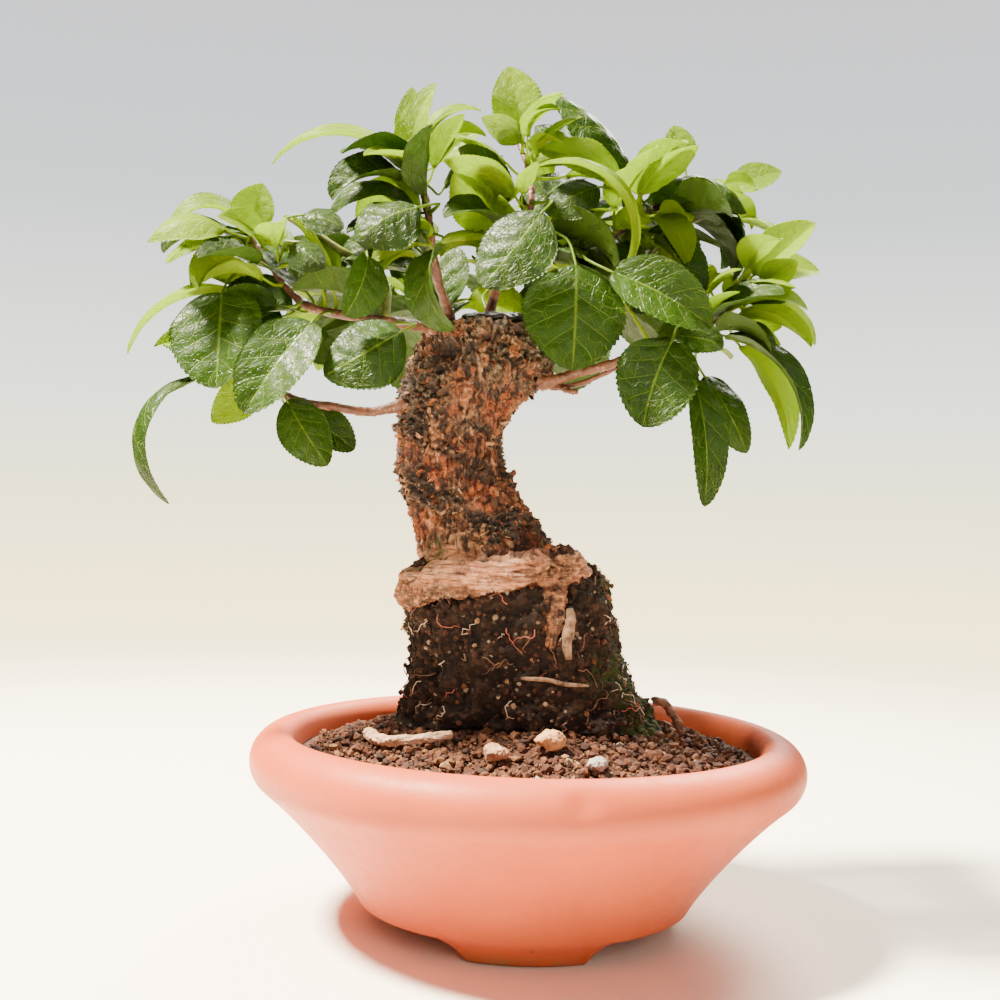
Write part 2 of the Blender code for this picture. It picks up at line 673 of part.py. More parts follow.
def nearest_seat(point, stems):
    found = min((stem.find_nearest(point) for stem in stems), key=lambda hit: hit[3])
    return found[0], found[1]


def blade_middle(start, heading, normal, length, droop, share):
    """The midrib's place and the blade's upward direction, along a circular curve."""
    angle = droop * share
    reach = length / droop
    centre = start + heading * (reach * math.sin(angle)) - normal * (reach * (1 - math.cos(angle)))
    return centre, normal * math.cos(angle) + heading * math.sin(angle)


def leaf_steps():
    """Turns and shifts to try, nearest to none first."""
    tries = [(turn, shift) for turn in range(-MOST_STEPS, MOST_STEPS + 1)
             for shift in range(-MOST_STEPS, MOST_STEPS + 1)]
    return sorted(tries, key=lambda pair: (pair[0] ** 2 + pair[1] ** 2, pair))


def make_leaf(row, number, stems, obstacles):
    for turn, shift in leaf_steps():
        turn, shift = turn * TURN_STEP, shift * SHIFT_STEP
        shape = leaf_shape(row, turn, shift, stems, 0)
        guard = leaf_shape(row, turn, shift, stems, 0.5 * GAP)
        if is_clear(shape, obstacles) and is_clear(guard, obstacles):
            break
    return add_object(f"{row[0]}_leaf_{number:02d}", *shape, row[0])


def ground_height(x, y, grounds):
    hits = (ground.ray_cast(Vector((x, y, 1)), Vector((0, 0, -1))) for ground in grounds)
    return max(hit[0].z for hit in hits if hit[0])


def make_stone(name, x, y, radii, turn, grounds, obstacles):
    """A worn, slightly angular stone that rests just above the soil."""
    shape = bmesh.new()
    bmesh.ops.create_icosphere(shape, subdivisions=2, radius=1)
    spin = Matrix.Rotation(math.radians(turn), 3, "Z")
    for vertex in shape.verts:
        rough = 1 + 0.09 * math.sin(5 * vertex.co.x + turn) + 0.07 * math.sin(6 * vertex.co.y - turn)
        scaled = Vector([value * radius * MM for value, radius in zip(vertex.co, radii)])
        vertex.co = spin @ scaled * rough
    faces = [tuple(v.index for v in face.verts) for face in shape.faces]
    corners = [v.co.copy() for v in shape.verts]
    shape.free()
    height = ground_height(x * MM, y * MM, grounds)
    while True:
        placed = [corner + Vector((x * MM, y * MM, height)) for corner in corners]
        if is_clear(([p - Vector((0, 0, GAP)) for p in placed], faces), obstacles):
            return add_object(name, placed, faces, name, sharp=35)
        height += CLEARING_STEP


def lying_root(name, kind, plan, radius, hump, grounds):
    """A root that follows the ground along its plan, and may rise in a hump between its ends."""
    spots = through([(x * MM, y * MM, 0) for x, y in plan], 3)
    last = len(spots) - 1
    beside = ((0, 0), (1, 0), (-1, 0), (0, 1), (0, -1), (2, 0), (-2, 0), (0, 2), (0, -2))
    line = []
    for index, spot in enumerate(spots):
        near = ((spot.x + radius * across, spot.y + radius * along) for across, along in beside)
        floor = max(ground_height(x, y, grounds) for x, y in near)
        rise = hump * math.sin(math.pi * index / last)
        line.append(Vector((spot.x, spot.y, floor + radius + GAP + rise)))
    sizes = [radius * (1 - 0.35 * index / last) for index in range(last + 1)]
    return add_object(name, *tube(line, sizes, ROOT_SIDES), kind)


def centre_on_origin():
    """Moves everything so that the origin is the middle of the bottom of the bounding box."""
    bpy.context.view_layer.update()
    graph = bpy.context.evaluated_depsgraph_get()
    corners = []
    for made in bpy.context.scene.collection.objects:
        if not made.hide_render:
            finished = made.evaluated_get(graph)
            corners += [finished.matrix_world @ vertex.co for vertex in finished.data.vertices]
    low = [min(corner[axis] for corner in corners) for axis in range(3)]
    high = [max(corner[axis] for corner in corners) for axis in range(3)]
    move = Vector(((low[0] + high[0]) / 2, (low[1] + high[1]) / 2, low[2]))
    for made in bpy.context.scene.collection.objects:
        made.location -= move


def main():
    for made in list(bpy.data.objects):
        bpy.data.objects.remove(made, do_unlink=True)
    make_pot()
    make_drain_mesh()
    soil = make_soil()
    mound = make_mound()
    trunk = make_trunk()
    paste = make_paste()
    grounds = [surface(soil), surface(mound)]
    for name, x, y, radii, turn in STONES:
        make_stone(name, x, y, radii, turn, grounds, [obstacle(soil), obstacle(mound)])
    for name, kind, plan, radius, hump in SURFACE_ROOTS:
        lying_root(name, kind, plan, radius * MM, hump * MM, grounds)
    trunk_surface = surface(trunk)
    obstacles = [obstacle(trunk), obstacle(paste), obstacle(mound)]
    stems = []
    for name, thick, thin, route in BRANCHES:
        branch = make_branch(name, thick, thin, route, trunk_surface, obstacles)
        obstacles.append(obstacle(branch))
        stems.append(surface(branch))
    made_of = {"mature": 0, "young": 0}
    for row in LEAVES:
        made_of[row[0]] += 1
        leaf = make_leaf(row, made_of[row[0]], stems, obstacles)
        obstacles.append(obstacle(leaf))
    centre_on_origin()


main()
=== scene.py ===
"""The looks of the bonsai: fine leaves, bark, soil and pot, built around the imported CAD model."""

import math
import random

import bmesh
import bpy
import numpy as np
from mathutils import Matrix, Vector, noise
from mathutils.bvhtree import BVHTree


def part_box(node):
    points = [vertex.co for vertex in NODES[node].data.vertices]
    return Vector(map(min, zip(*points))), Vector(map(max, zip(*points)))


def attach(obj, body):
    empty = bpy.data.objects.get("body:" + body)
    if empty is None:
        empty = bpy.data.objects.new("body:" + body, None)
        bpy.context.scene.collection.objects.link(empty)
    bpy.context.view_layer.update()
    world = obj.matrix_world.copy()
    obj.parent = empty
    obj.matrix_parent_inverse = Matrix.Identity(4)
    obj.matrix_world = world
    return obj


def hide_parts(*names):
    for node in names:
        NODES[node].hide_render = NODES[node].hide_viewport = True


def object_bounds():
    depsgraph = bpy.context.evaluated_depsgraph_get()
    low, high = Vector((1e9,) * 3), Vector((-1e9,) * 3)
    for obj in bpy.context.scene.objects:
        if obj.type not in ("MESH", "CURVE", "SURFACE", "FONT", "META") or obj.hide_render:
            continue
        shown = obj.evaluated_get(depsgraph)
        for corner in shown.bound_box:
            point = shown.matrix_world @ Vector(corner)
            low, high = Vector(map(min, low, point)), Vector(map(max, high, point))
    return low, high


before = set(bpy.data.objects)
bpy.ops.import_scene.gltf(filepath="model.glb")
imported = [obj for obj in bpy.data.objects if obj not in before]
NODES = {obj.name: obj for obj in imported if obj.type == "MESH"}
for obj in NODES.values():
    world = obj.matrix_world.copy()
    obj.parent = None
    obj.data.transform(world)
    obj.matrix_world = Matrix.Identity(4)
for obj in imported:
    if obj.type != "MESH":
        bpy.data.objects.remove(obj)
cad_low, cad_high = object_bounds()
MM = 0.001
noise.seed_set(1)  # noise_vector would otherwise start from the time, and differ on each run

# ---- places taken from the frame

pot_low, pot_high = (Vector(corner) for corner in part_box("pot"))
AXIS = Vector(((pot_low.x + pot_high.x) / 2, (pot_low.y + pot_high.y) / 2, 0))
RIM_RADIUS = (pot_high.x - pot_low.x) / 2
RIM_HEIGHT = pot_high.z
trunk_low, trunk_high = (Vector(corner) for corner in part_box("trunk"))
mound_low, mound_high = (Vector(corner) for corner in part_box("root_mound"))
CROWN = Vector((AXIS.x - 16 * MM, AXIS.y, trunk_high.z - 2 * MM))


def clamp(value, low=0.0, high=1.0):
    return max(low, min(high, value))


def read_numbers(rows, key, width=1, kind=np.float32):
    """One property of each vertex, corner or face, as an array."""
    numbers = np.empty(len(rows) * width, kind)
    rows.foreach_get(key, numbers)
    return numbers.reshape(-1, width) if width > 1 else numbers


def store(mesh, values):
    """Keeps named numbers for each point, for the materials to read."""
    for key, numbers in values.items():
        attribute = mesh.attributes.new(key, "FLOAT", "POINT")
        attribute.data.foreach_set("value", np.asarray(numbers, np.float32))


def node_mesh(name):
    """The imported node's points, with doubles merged, and its triangles."""
    mesh = NODES[name].data
    mesh.calc_loop_triangles()
    triangles = read_numbers(mesh.loop_triangles, "vertices", 3, np.int32)
    merged, index = np.unique(read_numbers(mesh.vertices, "co", 3), axis=0, return_inverse=True)
    return merged.astype(float), index.reshape(-1)[triangles]


def node_tree(name, unit=1.0):
    points, triangles = node_mesh(name)
    return BVHTree.FromPolygons((points / unit).tolist(), triangles.tolist())


# ---- making pieces


def new_piece(name, points, faces, material, uv=None, values=None, sharp=None):
    """A mesh object; uv is one pair for each point, and values are named numbers for each point."""
    mesh = bpy.data.meshes.new(name)
    mesh.from_pydata([tuple(p) for p in points], [], [[int(i) for i in face] for face in faces])
    mesh.shade_smooth()
    if sharp is not None:
        mesh.set_sharp_from_angle(angle=math.radians(sharp))
    if uv is not None:
        corners = read_numbers(mesh.loops, "vertex_index", kind=np.int32)
        layer = mesh.uv_layers.new(name="shape")
        layer.data.foreach_set("uv", np.asarray(uv, np.float32)[corners].ravel())
    store(mesh, values or {})
    mesh.materials.append(material)
    made = bpy.data.objects.new(name, mesh)
    bpy.context.scene.collection.objects.link(made)
    return made


def settle(piece, slot, *nodes):
    """Rides on the tree's only body and hides the CAD nodes named, standing in their place; the slot is not
    used.
    """
    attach(piece, "root")
    if nodes:
        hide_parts(*nodes)
    return piece


def grid_faces(rows, columns, closed=False):
    faces = []
    for row in range(rows - 1):
        for column in range(columns if closed else columns - 1):
            after = (column + 1) % columns
            a, b = row * columns + column, row * columns + after
            faces.append((a, b, b + columns, a + columns))
    return faces


def read_curve(shares, rows, share):
    """A smooth curve through the rows, read at one share of its length."""
    index = min(max(int(np.searchsorted(shares, share, "right")) - 1, 0), len(shares) - 2)
    width = shares[index + 1] - shares[index]
    t = (share - shares[index]) / width

    def slope(k):
        low, high = max(k - 1, 0), min(k + 1, len(shares) - 1)
        return (rows[high] - rows[low]) / (shares[high] - shares[low])

    a, b = rows[index], rows[index + 1]
    m, n = slope(index) * width, slope(index + 1) * width
    return (a * (2 * t**3 - 3 * t**2 + 1) + m * (t**3 - 2 * t**2 + t)
            + b * (3 * t**2 - 2 * t**3) + n * (t**3 - t**2))


def lengths_along(points):
    steps = [0.0]
    for a, b in zip(points[:-1], points[1:]):
        steps.append(steps[-1] + float(np.linalg.norm(b - a)))
    return np.array(steps) / steps[-1]


def smooth_line(points, steps):
    """The smooth curve through the points, in even steps."""
    shares = lengths_along(points)
    return [read_curve(shares, points, step / steps) for step in range(steps + 1)]


def tube_mesh(points, radii, sides):
    """Points and faces of a closed round tube, without twist."""
    points = [Vector(p) for p in points]
    side = None
    rings = []
    for index, point in enumerate(points):
        along = (points[min(index + 1, len(points) - 1)] - points[max(index - 1, 0)]).normalized()
        if side is None:
            side = along.orthogonal()
        side = (side - along * side.dot(along)).normalized()
        up = along.cross(side)
        for k in range(sides):
            angle = math.tau * k / sides
            rings.append(point + (side * math.cos(angle) + up * math.sin(angle)) * radii[index])
    faces = grid_faces(len(points), sides, closed=True)
    last = (len(points) - 1) * sides
    faces.append(tuple(reversed(range(sides))))
    faces.append(tuple(range(last, last + sides)))
    return rings, faces


class Joined:
    """Collects many small shapes into one mesh."""

    def __init__(self):
        self.points, self.faces, self.values = [], [], []

    def add(self, points, faces, value=0.0):
        start = len(self.points)
        self.points.extend(tuple(p) for p in points)
        self.faces.extend(tuple(i + start for i in f) for f in faces)
        self.values.extend([value] * len(points))

    def piece(self, name, material, sharp=None):
        return new_piece(name, self.points, self.faces, material, values={"tone": self.values}, sharp=sharp)


# ---- materials


class Shader:
    """A short way to write the node tree of a material or a world."""

    def __init__(self, holder):
        holder.use_nodes = True
        self.holder, self.tree = holder, holder.node_tree
        self.nodes = self.tree.nodes
        self.surface = self.nodes.get("Principled BSDF")

    def node(self, kind, settings=None, **inputs):
        made = self.nodes.new("ShaderNode" + kind)
        for key, value in (settings or {}).items():
            setattr(made, key, value)
        for key, value in inputs.items():
            self.feed(made.inputs[key.replace("_", " ")], value)
        return made

    def feed(self, socket, value):
        if isinstance(value, bpy.types.NodeSocket):
            self.tree.links.new(value, socket)
        else:
            socket.default_value = value

    def in_order(self, kind, operation, *values):
        """A node whose first inputs are fed in order."""
        made = self.node(kind, {"operation": operation} if operation else None)
        for socket, value in zip(made.inputs, values):
            self.feed(socket, value)
        return made.outputs[0]

    def set(self, **inputs):
        for key, value in inputs.items():
            self.feed(self.surface.inputs[key.replace("_", " ")], value)

    def cover(self, share, second):
        """Puts a second shader over the surface, by a share."""
        both = self.in_order("MixShader", None, share, self.surface.outputs[0], second.outputs[0])
        self.feed(self.nodes["Material Output"].inputs["Surface"], both)

    def place(self):
        return self.node("TexCoord").outputs["Object"]

    def axis(self, vector, name):
        return self.node("SeparateXYZ", Vector=vector).outputs[name]

    def number(self, name):
        return self.node("Attribute", {"attribute_name": name}).outputs["Fac"]

    def stretched(self, vector, scale):
        return self.node("Mapping", Vector=vector, Scale=scale).outputs["Vector"]

    def bent(self, vector, scale, detail, amount):
        """The vector, shifted about by a noise."""
        wander = self.node("TexNoise", Vector=self.place(), Scale=scale, Detail=detail).outputs["Color"]
        return self.in_order("VectorMath", "MULTIPLY_ADD", wander, amount, vector)

    def noise(self, vector, scale, detail=3.0, roughness=0.55):
        made = self.node("TexNoise", Vector=vector, Scale=scale, Detail=detail, Roughness=roughness)
        return made.outputs["Fac"]

    def cells(self, vector, scale, feature="F1", output="Distance"):
        return self.node("TexVoronoi", {"feature": feature}, Vector=vector, Scale=scale).outputs[output]

    def cell_number(self, vector, scale):
        """A random number for each cell."""
        return self.node("SeparateColor", Color=self.cells(vector, scale, output="Color")).outputs[0]

    def math(self, operation, a, b=0.0):
        return self.in_order("Math", operation, a, b)

    def times(self, a, b):
        return self.math("MULTIPLY", a, b)

    def plus(self, a, b):
        return self.math("ADD", a, b)

    def spread(self, value, low, high, to_low=0.0, to_high=1.0):
        made = self.node("MapRange", Value=value, From_Min=low, From_Max=high, To_Min=to_low, To_Max=to_high)
        return made.outputs["Result"]

    def mix(self, share, first, second):
        made = self.node("Mix", {"data_type": "RGBA"})
        self.feed(made.inputs["Factor"], share)
        for socket, value in ((made.inputs[6], first), (made.inputs[7], second)):
            self.feed(socket, (*value, 1) if isinstance(value, tuple) else value)
        return made.outputs[2]

    def blend(self, value, low, high, first, second, to_low=0.0, to_high=1.0):
        """From the first colour to the second as the value goes from low to high."""
        return self.mix(self.spread(value, low, high, to_low, to_high), first, second)

    def ramp(self, value, stops):
        """A colour ramp through the stops, each a place and a colour."""
        made = self.node("ValToRGB", Fac=value)
        kept = made.color_ramp.elements
        for index, (place, colour) in enumerate(stops):
            stop = kept[index] if index < 2 else kept.new(1.0)
            stop.position = place
            stop.color = (*colour, 1)
        return made.outputs["Color"]

    def bump(self, height, strength, distance):
        """Makes the surface follow a height."""
        normal = self.node("Bump", Height=height, Strength=strength, Distance=distance).outputs["Normal"]
        self.set(Normal=normal)
        return normal


def material_shader(name):
    return Shader(bpy.data.materials.new(name))


def ceramic_material():
    s = material_shader("pink_ceramic")
    place = s.place()
    height = s.axis(place, "Z")
    cloud = s.noise(place, 28, 4)
    colour = s.blend(cloud, 0.3, 0.7, (0.37, 0.062, 0.020), (0.44, 0.082, 0.028))
    stain = s.times(s.spread(height, 0.0, 4 * MM, 1, 0), s.spread(s.noise(place, 120), 0.35, 0.6))
    colour = s.mix(s.times(stain, 0.85), colour, (0.23, 0.12, 0.045))
    dots = s.spread(s.cells(place, 95), 0.045, 0.07, 1, 0)
    rare = s.spread(s.noise(place, 60, 2), 0.56, 0.6)
    colour = s.mix(s.times(s.times(dots, rare), 0.75), colour, (0.16, 0.06, 0.03))
    s.set(Base_Color=colour, Roughness=s.spread(s.noise(place, 300, 3), 0.3, 0.7, 0.44, 0.58),
          Specular_IOR_Level=0.2)
    grain = s.plus(s.noise(place, 900, 4), s.times(s.noise(place, 120, 2), 0.8))
    s.bump(grain, 0.12, 0.4 * MM)
    return s.holder


def leaf_material(name, dark, light, vein, under, glow, glow_share, roughness, relief):
    """A glossy blade with a midrib, curved side veins and a fine net between them, and a paler underside."""
    s = material_shader(name)
    uv = s.node("UVMap", {"uv_map": "shape"}).outputs["UV"]
    across = s.math("SUBTRACT", s.times(s.axis(uv, "X"), 2.0), 1.0)
    reach = s.math("ABSOLUTE", across)
    along = s.axis(uv, "Y")
    side = s.times(s.math("GREATER_THAN", across, 0.0), 0.5)
    lean = s.times(s.math("POWER", reach, 0.85), 0.24)
    wave = s.plus(s.times(s.math("SUBTRACT", along, lean), VEINS), side)
    offset = s.math("ABSOLUTE", s.math("SUBTRACT", s.math("FRACT", wave), 0.5))
    side_vein = s.times(s.spread(offset, 0.462, 0.49), s.spread(reach, 0.55, 0.95, 1, 0.15))
    middle = s.spread(reach, 0.012, 0.04, 1, 0)
    place = s.place()
    bent = s.bent(uv, 220.0, 1.0, (0.09, 0.09, 0.0))
    wide = s.spread(s.cells(s.stretched(bent, (1.0, 1.2, 0.0)), 7.5, "DISTANCE_TO_EDGE"), 0.0, 0.035, 1, 0)
    small = s.spread(s.cells(s.stretched(bent, (1.0, 1.25, 0.0)), 19, "DISTANCE_TO_EDGE"), 0.0, 0.06, 1, 0)
    net = s.math("MAXIMUM", wide, s.times(small, 0.45))
    colour = s.mix(s.number("tone"), dark, light)
    colour = s.blend(s.noise(place, 90, 3), 0.35, 0.7, colour, light, 0.0, 0.45)
    lines = s.math("MAXIMUM", s.times(side_vein, 0.8), middle)
    lines = s.math("MAXIMUM", lines, s.times(net, 0.5))
    colour = s.mix(s.times(lines, 0.75), colour, vein)
    colour = s.mix(s.number("under"), colour, under)
    dull = s.spread(s.noise(place, 260, 2), 0.3, 0.7, roughness - 0.05, roughness + 0.1)
    s.set(Base_Color=colour, Roughness=dull, Specular_IOR_Level=0.22)
    hollow = s.times(s.math("MAXIMUM", side_vein, s.times(net, 0.8)), -1.0)
    quilt = s.times(s.cells(s.stretched(bent, (1.0, 1.2, 0.0)), 7.5, "SMOOTH_F1"), -1.6)
    fine = s.plus(s.plus(hollow, quilt), s.times(s.noise(place, 1300, 3), 0.5))
    normal = s.bump(fine, relief, 0.25 * MM)
    shine = s.node("BsdfTranslucent", Color=s.mix(s.times(lines, 0.5), glow, vein), Normal=normal)
    s.cover(glow_share, shine)
    return s.holder


def bark_material():
    """Orange and tan fibres under a dark, flaky crust, grey at the top, with a peach-coloured root below, and
    painted shade in the crevices and the rotted knot.
    """
    s = material_shader("flaky_bark")
    place = s.place()
    fine = s.noise(place, 1500, 5, 0.7)
    threads = s.noise(s.stretched(place, (1.0, 1.0, 0.16)), 1300, 4, 0.65)
    speckle = s.noise(place, 620, 4, 0.7)
    crust, painted_shade, root, grey = (s.number(name) for name in ("crust", "painted_shade", "root", "grey"))
    patch = s.spread(s.noise(place, 110, 3), 0.43, 0.57)
    tan = s.blend(threads, 0.38, 0.62, (0.030, 0.011, 0.005), (0.21, 0.088, 0.036))
    orange = s.blend(threads, 0.38, 0.62, (0.055, 0.011, 0.003), (0.44, 0.092, 0.018))
    wood = s.mix(patch, tan, orange)
    dark = s.blend(speckle, 0.40, 0.70, (0.010, 0.005, 0.003), (0.080, 0.042, 0.021))
    colour = s.mix(crust, wood, dark)
    old = s.blend(fine, 0.40, 0.66, (0.045, 0.028, 0.015), (0.38, 0.28, 0.16))
    colour = s.mix(s.times(grey, s.spread(speckle, 0.40, 0.58)), colour, old)
    tall = s.stretched(s.bent(place, 380.0, 3.0, (5 * MM, 5 * MM, 5 * MM)), (1.0, 1.0, 0.55))
    tint = s.cell_number(tall, 230)
    plate = s.blend(speckle, 0.38, 0.62, (0.24, 0.085, 0.034), (0.56, 0.27, 0.12))
    colour = s.blend(tint, 0.72, 0.78, colour, plate, 0, 0.65)
    crack = s.spread(s.cells(tall, 230, "DISTANCE_TO_EDGE"), 0.02, 0.10, 0.4, 0)
    colour = s.mix(crack, colour, (0.012, 0.006, 0.004))
    chips = s.spread(s.noise(place, 900, 3, 0.5), 0.60, 0.66)
    colour = s.mix(s.times(chips, 0.5), colour, (0.42, 0.27, 0.16))
    streaks = s.noise(s.stretched(place, (0.22, 0.6, 1.7)), 620, 5, 0.65)
    peach = s.blend(streaks, 0.38, 0.58, (0.22, 0.058, 0.022), (0.62, 0.27, 0.12))
    pale = s.times(s.spread(s.noise(place, 130, 3), 0.5, 0.6), s.spread(streaks, 0.42, 0.56))
    peach = s.mix(s.times(pale, 0.8), peach, (0.66, 0.42, 0.25))
    seams = s.noise(s.stretched(place, (0.10, 0.5, 1.6)), 1100, 4, 0.6)
    peach = s.blend(seams, 0.56, 0.64, peach, (0.10, 0.034, 0.015), 0, 0.85)
    peach = s.blend(s.noise(place, 260, 5, 0.7), 0.52, 0.62, peach, (0.13, 0.045, 0.02))
    peach = s.blend(s.noise(place, 900, 4, 0.7), 0.60, 0.68, peach, (0.05, 0.02, 0.01), 0, 0.7)
    soiled = s.times(s.number("dirt"), s.spread(speckle, 0.36, 0.56))
    peach = s.mix(soiled, peach, s.blend(fine, 0.35, 0.65, (0.020, 0.010, 0.006), (0.15, 0.070, 0.032)))
    colour = s.mix(root, colour, peach)
    # Painted shade: near black in the bark's crevices and inside the rotted knot.
    colour = s.mix(s.times(painted_shade, 0.88), colour, (0.012, 0.006, 0.004))
    green = s.times(s.number("moss"), s.spread(s.noise(place, 500, 3), 0.4, 0.55))
    colour = s.mix(green, colour, (0.04, 0.085, 0.008))
    s.set(Base_Color=colour, Roughness=s.spread(fine, 0.3, 0.7, 0.70, 0.95))
    relief = s.plus(fine, s.times(threads, 0.9))
    s.bump(relief, 0.7, 0.6 * MM)
    return s.holder


def earth_material(name, dark, brown, light, moss):
    """Crumbly soil: dark and reddish grains, pale grit, painted shade where each point's value says so, and
    green where the moss value says so.
    """
    s = material_shader(name)
    place = s.place()
    fine = s.noise(place, 1100, 5, 0.65)
    pick = s.cell_number(place, 520)
    colour = s.blend(fine, 0.35, 0.68, dark, brown)
    colour = s.blend(pick, 0.62, 0.95, colour, light, 0, 0.6)
    grit = s.times(s.spread(s.cells(place, 330), 0.14, 0.22, 1, 0), s.spread(pick, 0.6, 0.62))
    colour = s.mix(s.times(grit, 0.6), colour, (0.48, 0.36, 0.24))
    # Painted shade: near black in the hollows, by each point's value.
    colour = s.mix(s.times(s.number("painted_shade"), 0.8), colour, (0.008, 0.005, 0.004))
    if moss:
        green = s.times(s.number("moss"), s.spread(s.noise(place, 380, 4), 0.38, 0.56))
        colour = s.mix(green, colour, s.mix(fine, (0.016, 0.028, 0.004), (0.07, 0.10, 0.012)))
    s.set(Base_Color=colour, Roughness=s.spread(fine, 0.3, 0.7, 0.85, 1.0), Specular_IOR_Level=0.25)
    s.bump(fine, 0.6, 0.5 * MM)
    return s.holder


def grain_material(name, colours, roughness=0.9, scale=1500):
    """Loose grains whose colour follows their own tone, with a fine mottle."""
    s = material_shader(name)
    place = s.place()
    tones = s.ramp(s.number("tone"), [(k / (len(colours) - 1), colour) for k, colour in enumerate(colours)])
    mottle = s.noise(place, scale, 4, 0.6)
    colour = s.blend(mottle, 0.3, 0.7, tones, (0.03, 0.016, 0.01), 0.0, 0.6)
    dull = s.spread(mottle, 0.3, 0.7, roughness - 0.12, roughness)
    s.set(Base_Color=colour, Roughness=dull, Specular_IOR_Level=0.3)
    s.bump(mottle, 0.5, 0.3 * MM)
    return s.holder


def twig_material():
    s = material_shader("red_brown_twig")
    place = s.place()
    mottle = s.noise(place, 420, 4, 0.6)
    old = s.blend(mottle, 0.35, 0.65, (0.060, 0.018, 0.008), (0.17, 0.062, 0.028))
    fresh = s.blend(mottle, 0.35, 0.65, (0.085, 0.125, 0.012), (0.17, 0.21, 0.03))
    colour = s.mix(s.number("tone"), old, fresh)
    dots = s.times(s.spread(s.cells(place, 700), 0.16, 0.24, 1, 0), s.spread(mottle, 0.45, 0.5))
    colour = s.mix(s.times(dots, 0.7), colour, (0.34, 0.22, 0.13))
    s.set(Base_Color=colour, Roughness=s.spread(mottle, 0.3, 0.7, 0.45, 0.62))
    s.bump(mottle, 0.4, 0.3 * MM)
    return s.holder


def plain_material(name, low, high, scale, roughness, bump):
    s = material_shader(name)
    mottle = s.noise(s.place(), scale, 4, 0.6)
    s.set(Base_Color=s.blend(mottle, 0.32, 0.68, low, high),
          Roughness=s.spread(mottle, 0.3, 0.7, roughness - 0.06, roughness + 0.06))
    s.bump(mottle, bump, 0.4 * MM)
    return s.holder


def floor_material():
    """A pale floor that melts into the studio's haze further away."""
    s = material_shader("pale_floor")
    place = s.place()
    mottle = s.noise(place, 3)
    s.set(Base_Color=s.mix(mottle, (0.84, 0.76, 0.63), (0.86, 0.78, 0.65)))
    s.set(Roughness=s.spread(mottle, 0, 1, 0.7, 0.8))
    away = s.node("VectorMath", {"operation": "LENGTH"}, Vector=place).outputs["Value"]
    fade = s.node("MapRange", {"interpolation_type": "SMOOTHSTEP"}, Value=away, From_Min=FLOOR_FADE[0],
                  From_Max=FLOOR_FADE[1])
    s.cover(fade.outputs["Result"], s.node("BsdfTransparent"))
    return s.holder


VEINS = 5.0  # side veins on each half of a blade
FLOOR_FADE = (0.20, 0.75)  # how far from the pot the floor starts and ends melting into the haze

MATERIALS = {
    "ceramic": ceramic_material(),
    "mature": leaf_material("mature_leaf", (0.006, 0.021, 0.001), (0.027, 0.072, 0.001), (0.16, 0.25, 0.015),
                            (0.048, 0.095, 0.010), (0.10, 0.25, 0.0), 0.24, 0.37, 0.8),
    "young": leaf_material("young_leaf", (0.048, 0.115, 0.001), (0.21, 0.30, 0.001), (0.33, 0.42, 0.012),
                           (0.18, 0.26, 0.005), (0.60, 0.80, 0.0), 0.46, 0.44, 0.7),
    "bark": bark_material(),
    "mound": earth_material("root_mound_earth", (0.006, 0.003, 0.002), (0.026, 0.012, 0.006),
                            (0.070, 0.035, 0.019), True),
    "soil": earth_material("soil_earth", (0.02, 0.007, 0.003), (0.080, 0.028, 0.012),
                           (0.16, 0.065, 0.030), False),
    "crumbs": grain_material("soil_grains", (
        (0.020, 0.007, 0.003), (0.080, 0.023, 0.008), (0.16, 0.052, 0.018), (0.30, 0.13, 0.045),
        (0.32, 0.25, 0.17))),
    "slivers": grain_material("bark_slivers", (
        (0.014, 0.007, 0.004), (0.050, 0.022, 0.011), (0.17, 0.055, 0.020), (0.38, 0.10, 0.025),
        (0.40, 0.24, 0.13)), scale=900),
    "twig": twig_material(),
    "floor": floor_material(),
}

# Plain mottled materials: key, dark and light colour, the mottle's scale, roughness, strength of bump.
PLAIN = (
    ("paste", (0.006, 0.006, 0.007), (0.018, 0.018, 0.02), 260, 0.42, 0.3),
    ("pale_root", (0.34, 0.18, 0.09), (0.68, 0.44, 0.28), 380, 0.8, 0.6),
    ("tan_root", (0.05, 0.022, 0.012), (0.40, 0.23, 0.12), 520, 0.8, 0.8),
    ("dark_root", (0.07, 0.028, 0.015), (0.24, 0.11, 0.06), 420, 0.75, 0.6),
    ("hair_root", (0.42, 0.26, 0.16), (0.75, 0.58, 0.42), 600, 0.7, 0.3),
    ("red_root", (0.30, 0.05, 0.03), (0.50, 0.12, 0.07), 600, 0.7, 0.3),
    ("moss", (0.018, 0.034, 0.004), (0.085, 0.13, 0.012), 700, 0.9, 0.3),
    ("ochre_stone", (0.34, 0.15, 0.05), (0.68, 0.38, 0.17), 300, 0.85, 0.8),
    ("brown_stone", (0.20, 0.09, 0.045), (0.48, 0.27, 0.14), 320, 0.85, 0.8),
    ("grey_stone", (0.13, 0.105, 0.085), (0.42, 0.36, 0.30), 340, 0.85, 0.8),
    ("drain_mesh", (0.012, 0.012, 0.012), (0.03, 0.03, 0.03), 300, 0.5, 0.2),
)
for row in PLAIN:
    MATERIALS[row[0]] = plain_material(*row)


# ---- pot


def bezier_weights(t):
    return (1 - t) ** 3, 3 * t * (1 - t) ** 2, 3 * t * t * (1 - t), t**3


def bezier(start, out, into, end, steps):
    points = []
    for step in range(1, steps + 1):
        weights = bezier_weights(step / steps)
        points.append(tuple(sum(w * p[k] for w, p in zip(weights, (start, out, into, end))) for k in (0, 1)))
    return points


def arc(centre, radii, start, end, steps):
    points = []
    for step in range(steps + 1):
        angle = math.radians(start + (end - start) * step / steps)
        points.append((centre[0] + radii[0] * math.cos(angle), centre[1] + radii[1] * math.sin(angle)))
    return points


